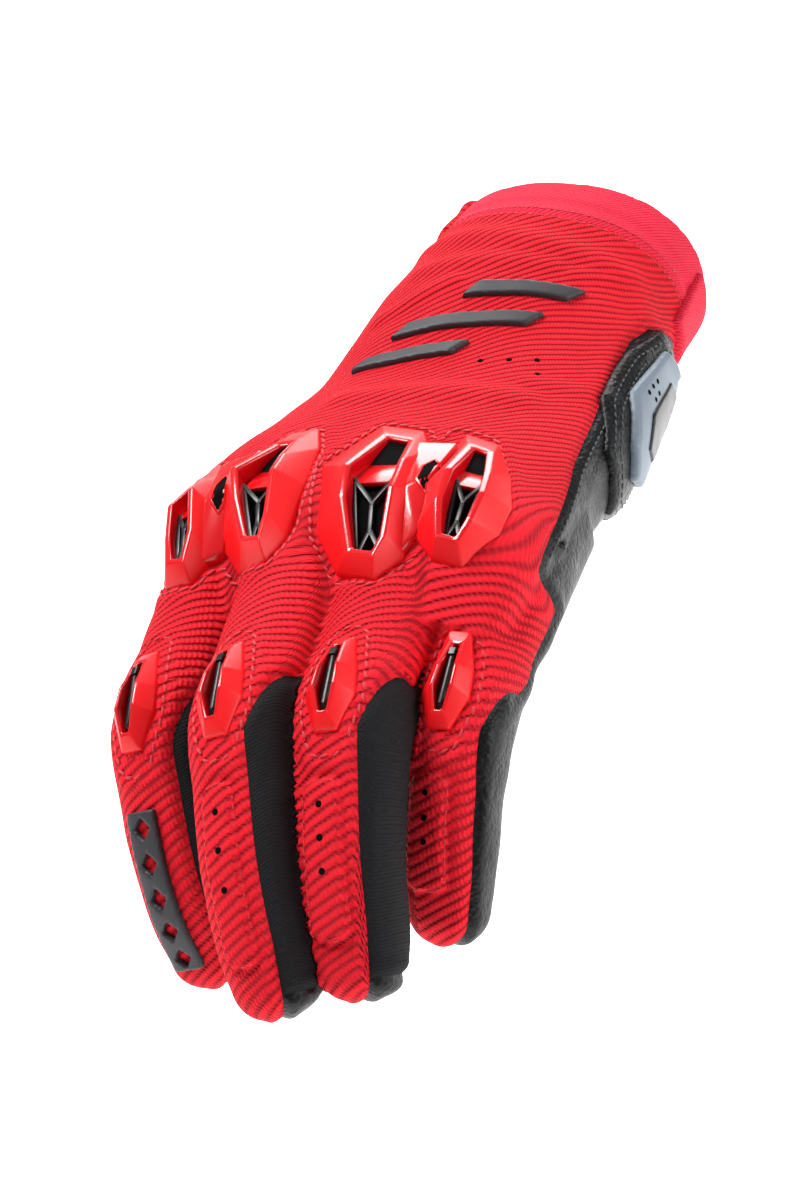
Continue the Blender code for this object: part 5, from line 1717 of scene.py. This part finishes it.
def build_stage(settings):
    """Camera, floor, lights and surroundings."""
    back, right, up = camera_axes()
    data = bpy.data.cameras.new("camera")
    data.sensor_width = SENSOR
    data.lens = FOCAL_PIXELS / FRAME_SIZE[1] * SENSOR
    data.shift_x = (FRAME_SIZE[0] / 2.0 - TARGET_PIXEL[0]) / FRAME_SIZE[1]
    data.shift_y = (TARGET_PIXEL[1] - FRAME_SIZE[1] / 2.0) / FRAME_SIZE[1]
    data.clip_start, data.clip_end = 0.01, 20.0
    camera = linked("camera", data)
    turned = Matrix((right, up, back)).transposed().to_4x4()
    place = (np.array(CAMERA_TARGET) + back * CAMERA_DISTANCE) * MM
    camera.matrix_world = Matrix.Translation(Vector(place)) @ turned
    bpy.context.scene.camera = camera

    bpy.ops.mesh.primitive_plane_add(size=12.0, location=(0.0, 0.0, settings.floor_height * MM))
    floor = bpy.context.object
    floor.name = "floor"
    made, _, shader = new_material("Plain pale floor")
    shader.inputs["Base Color"].default_value = linear("#F4F4F4")
    shader.inputs["Roughness"].default_value = 0.9
    shader.inputs["Emission Color"].default_value = (1.0, 1.0, 1.0, 1.0)
    shader.inputs["Emission Strength"].default_value = settings.floor_glow
    floor.data.materials.append(made)

    centre = Vector((0.0, -0.12, 0.0))
    for name, side, lift, ahead, size, power in LIGHTS:
        lamp = bpy.data.lights.new(name, "AREA")
        lamp.size = size
        lamp.energy = getattr(settings, power)
        thing = linked(name, lamp)
        offset = right * side + up * lift + back * ahead
        thing.location = centre + Vector(offset)
        thing.rotation_euler = (-Vector(offset)).to_track_quat("-Z", "Y").to_euler()
    bpy.context.scene.view_settings.view_transform = "Standard"
    world = bpy.data.worlds.new("surroundings")
    world.use_nodes = True
    world.node_tree.nodes["Background"].inputs["Color"].default_value = (1.0, 1.0, 1.0, 1.0)
    world.node_tree.nodes["Background"].inputs["Strength"].default_value = settings.world_strength
    bpy.context.scene.world = world


# Add-on

class GloveSettings(bpy.types.PropertyGroup):
    """Sizes and colours of the cloth and the guards."""

    voxel: bpy.props.FloatProperty(
        name="Skin step", description="Distance between points of the skin, in mm",
        default=0.95, min=0.5, max=3.0)
    rib_pitch: bpy.props.FloatProperty(
        name="Rib pitch", description="Distance between ribs of the cloth, in mm",
        default=1.9, min=0.5, max=5.0)
    stitch_pitch: bpy.props.FloatProperty(
        name="Knit pitch", description="Distance between knit loops, in mm",
        default=0.85, min=0.3, max=3.0)
    body_slant: bpy.props.FloatProperty(
        name="Rib slant, hand", description="Slant of the ribs on the hand, degrees", default=38.0)
    finger_slant: bpy.props.FloatProperty(
        name="Rib slant, fingers", description="Slant of the ribs on the fingers", default=32.0)
    wrinkle_size: bpy.props.FloatProperty(
        name="Wrinkle size", description="Size of the slow wrinkles, in mm", default=15.0)
    wrinkle_height: bpy.props.FloatProperty(
        name="Wrinkle height", description="Height of the wrinkles, in mm", default=0.55)
    thread_pitch: bpy.props.FloatProperty(
        name="Stitch pitch", description="Distance between stitches, in mm", default=2.7)
    hole_size: bpy.props.FloatProperty(
        name="Hole size", description="Diameter of the vent holes, in mm", default=1.5)
    rod_width: bpy.props.FloatProperty(
        name="Grille rod width", description="Width of the grilles' rods, in mm", default=1.7)
    cloth_ridge: bpy.props.StringProperty(
        name="Cloth crowns", description="sRGB hex of the rib crowns", default="#F01528")
    # Colour painted between the cloth's ribs as painted shade.
    cloth_valley_shade: bpy.props.StringProperty(
        name="Cloth valleys", description="sRGB hex between the ribs", default="#A8051A")
    band_ridge: bpy.props.StringProperty(
        name="Band crowns", description="sRGB hex of the elastic's crowns", default="#F0304C")
    # Colour painted between the elastic's ribs as painted shade.
    band_valley_shade: bpy.props.StringProperty(
        name="Band valleys", description="sRGB hex between its ribs", default="#C8142E")
    guard_colour: bpy.props.StringProperty(
        name="Guard colour", description="sRGB hex of the guards", default="#F01218")


class StageSettings(bpy.types.PropertyGroup):
    """Floor height and strength of the lights."""

    floor_height: bpy.props.FloatProperty(
        name="Floor height", description="Height of the floor, in mm", default=-150.0)
    floor_glow: bpy.props.FloatProperty(
        name="Floor glow", description="Light that the pale floor gives off", default=0.9)
    key_power: bpy.props.FloatProperty(
        name="Key light", description="Power of the light at the upper left, in W", default=26.0)
    fill_power: bpy.props.FloatProperty(
        name="Fill light", description="Power of the light at the right, in W", default=13.0)
    top_power: bpy.props.FloatProperty(
        name="Top light", description="Power of the light from behind, in W", default=15.0)
    world_strength: bpy.props.FloatProperty(
        name="Surroundings", description="Strength of the white surroundings", default=0.28)


class GLOVE_OT_skin(bpy.types.Operator):
    """Make the smooth skin of the hand that every piece is cut from"""
    bl_idname = "glove.skin"
    bl_label = "Hand skin"

    def execute(self, context):
        build_skin(context.scene.glove)
        return {"FINISHED"}


class GLOVE_OT_panels(bpy.types.Operator):
    """Make the panels of ribbed cloth, elastic, stretch cloth and leather"""
    bl_idname = "glove.panels"
    bl_label = "Cloth and leather panels"

    def execute(self, context):
        build_panels(context.scene.glove)
        return {"FINISHED"}


class GLOVE_OT_pads(bpy.types.Operator):
    """Make the patch, palm slider, rubber bars, strip, strap and tab"""
    bl_idname = "glove.pads"
    bl_label = "Patches, bars and strap"

    def execute(self, context):
        build_pads(context.scene.glove)
        return {"FINISHED"}


class GLOVE_OT_guards(bpy.types.Operator):
    """Make the knuckle guards with their slots and grilles"""
    bl_idname = "glove.guards"
    bl_label = "Knuckle guards"

    def execute(self, context):
        build_guards(context.scene.glove)
        build_grilles(context.scene.glove)
        return {"FINISHED"}


class GLOVE_OT_sliders(bpy.types.Operator):
    """Make the finger sliders and their inserts"""
    bl_idname = "glove.sliders"
    bl_label = "Finger sliders"

    def execute(self, context):
        build_sliders(context.scene.glove)
        return {"FINISHED"}


class GLOVE_OT_stitches(bpy.types.Operator):
    """Make the rows of stitches and the vent holes"""
    bl_idname = "glove.stitches"
    bl_label = "Stitches and holes"

    def execute(self, context):
        build_stitches(context.scene.glove)
        return {"FINISHED"}


class GLOVE_OT_stage(bpy.types.Operator):
    """Make the camera, the floor and the lights"""
    bl_idname = "glove.stage"
    bl_label = "Stage"

    def execute(self, context):
        build_stage(context.scene.glove_stage)
        return {"FINISHED"}


class GLOVE_PT_panel(bpy.types.Panel):
    """Sidebar panel that lists the glove's steps"""
    bl_idname = "GLOVE_PT_panel"
    bl_label = "Motorcycle glove"
    bl_space_type = "VIEW_3D"
    bl_region_type = "UI"
    bl_category = "Glove"

    def draw(self, context):
        for group in (context.scene.glove, context.scene.glove_stage):
            for name in group.bl_rna.properties.keys():
                if name not in ("rna_type", "name"):
                    self.layout.prop(group, name)
        for operator in OPERATORS:
            self.layout.operator(operator.bl_idname)


OPERATORS = (GLOVE_OT_skin, GLOVE_OT_panels, GLOVE_OT_pads, GLOVE_OT_guards, GLOVE_OT_sliders,
             GLOVE_OT_stitches, GLOVE_OT_stage)
CLASSES = (GloveSettings, StageSettings, *OPERATORS, GLOVE_PT_panel)


def register():
    """Register the classes and their settings."""
    for entry in CLASSES:
        bpy.utils.register_class(entry)
    bpy.types.Scene.glove = bpy.props.PointerProperty(type=GloveSettings)
    bpy.types.Scene.glove_stage = bpy.props.PointerProperty(type=StageSettings)


def unregister():
    """Remove the classes and their settings."""
    del bpy.types.Scene.glove_stage
    del bpy.types.Scene.glove
    for entry in reversed(CLASSES):
        bpy.utils.unregister_class(entry)


def main():
    """Make every piece in order."""
    register()
    bpy.ops.glove.skin()
    bpy.ops.glove.panels()
    bpy.ops.glove.pads()
    bpy.ops.glove.guards()
    bpy.ops.glove.sliders()
    bpy.ops.glove.stitches()
    bpy.ops.glove.stage()


if __name__ == "__main__":
    main()
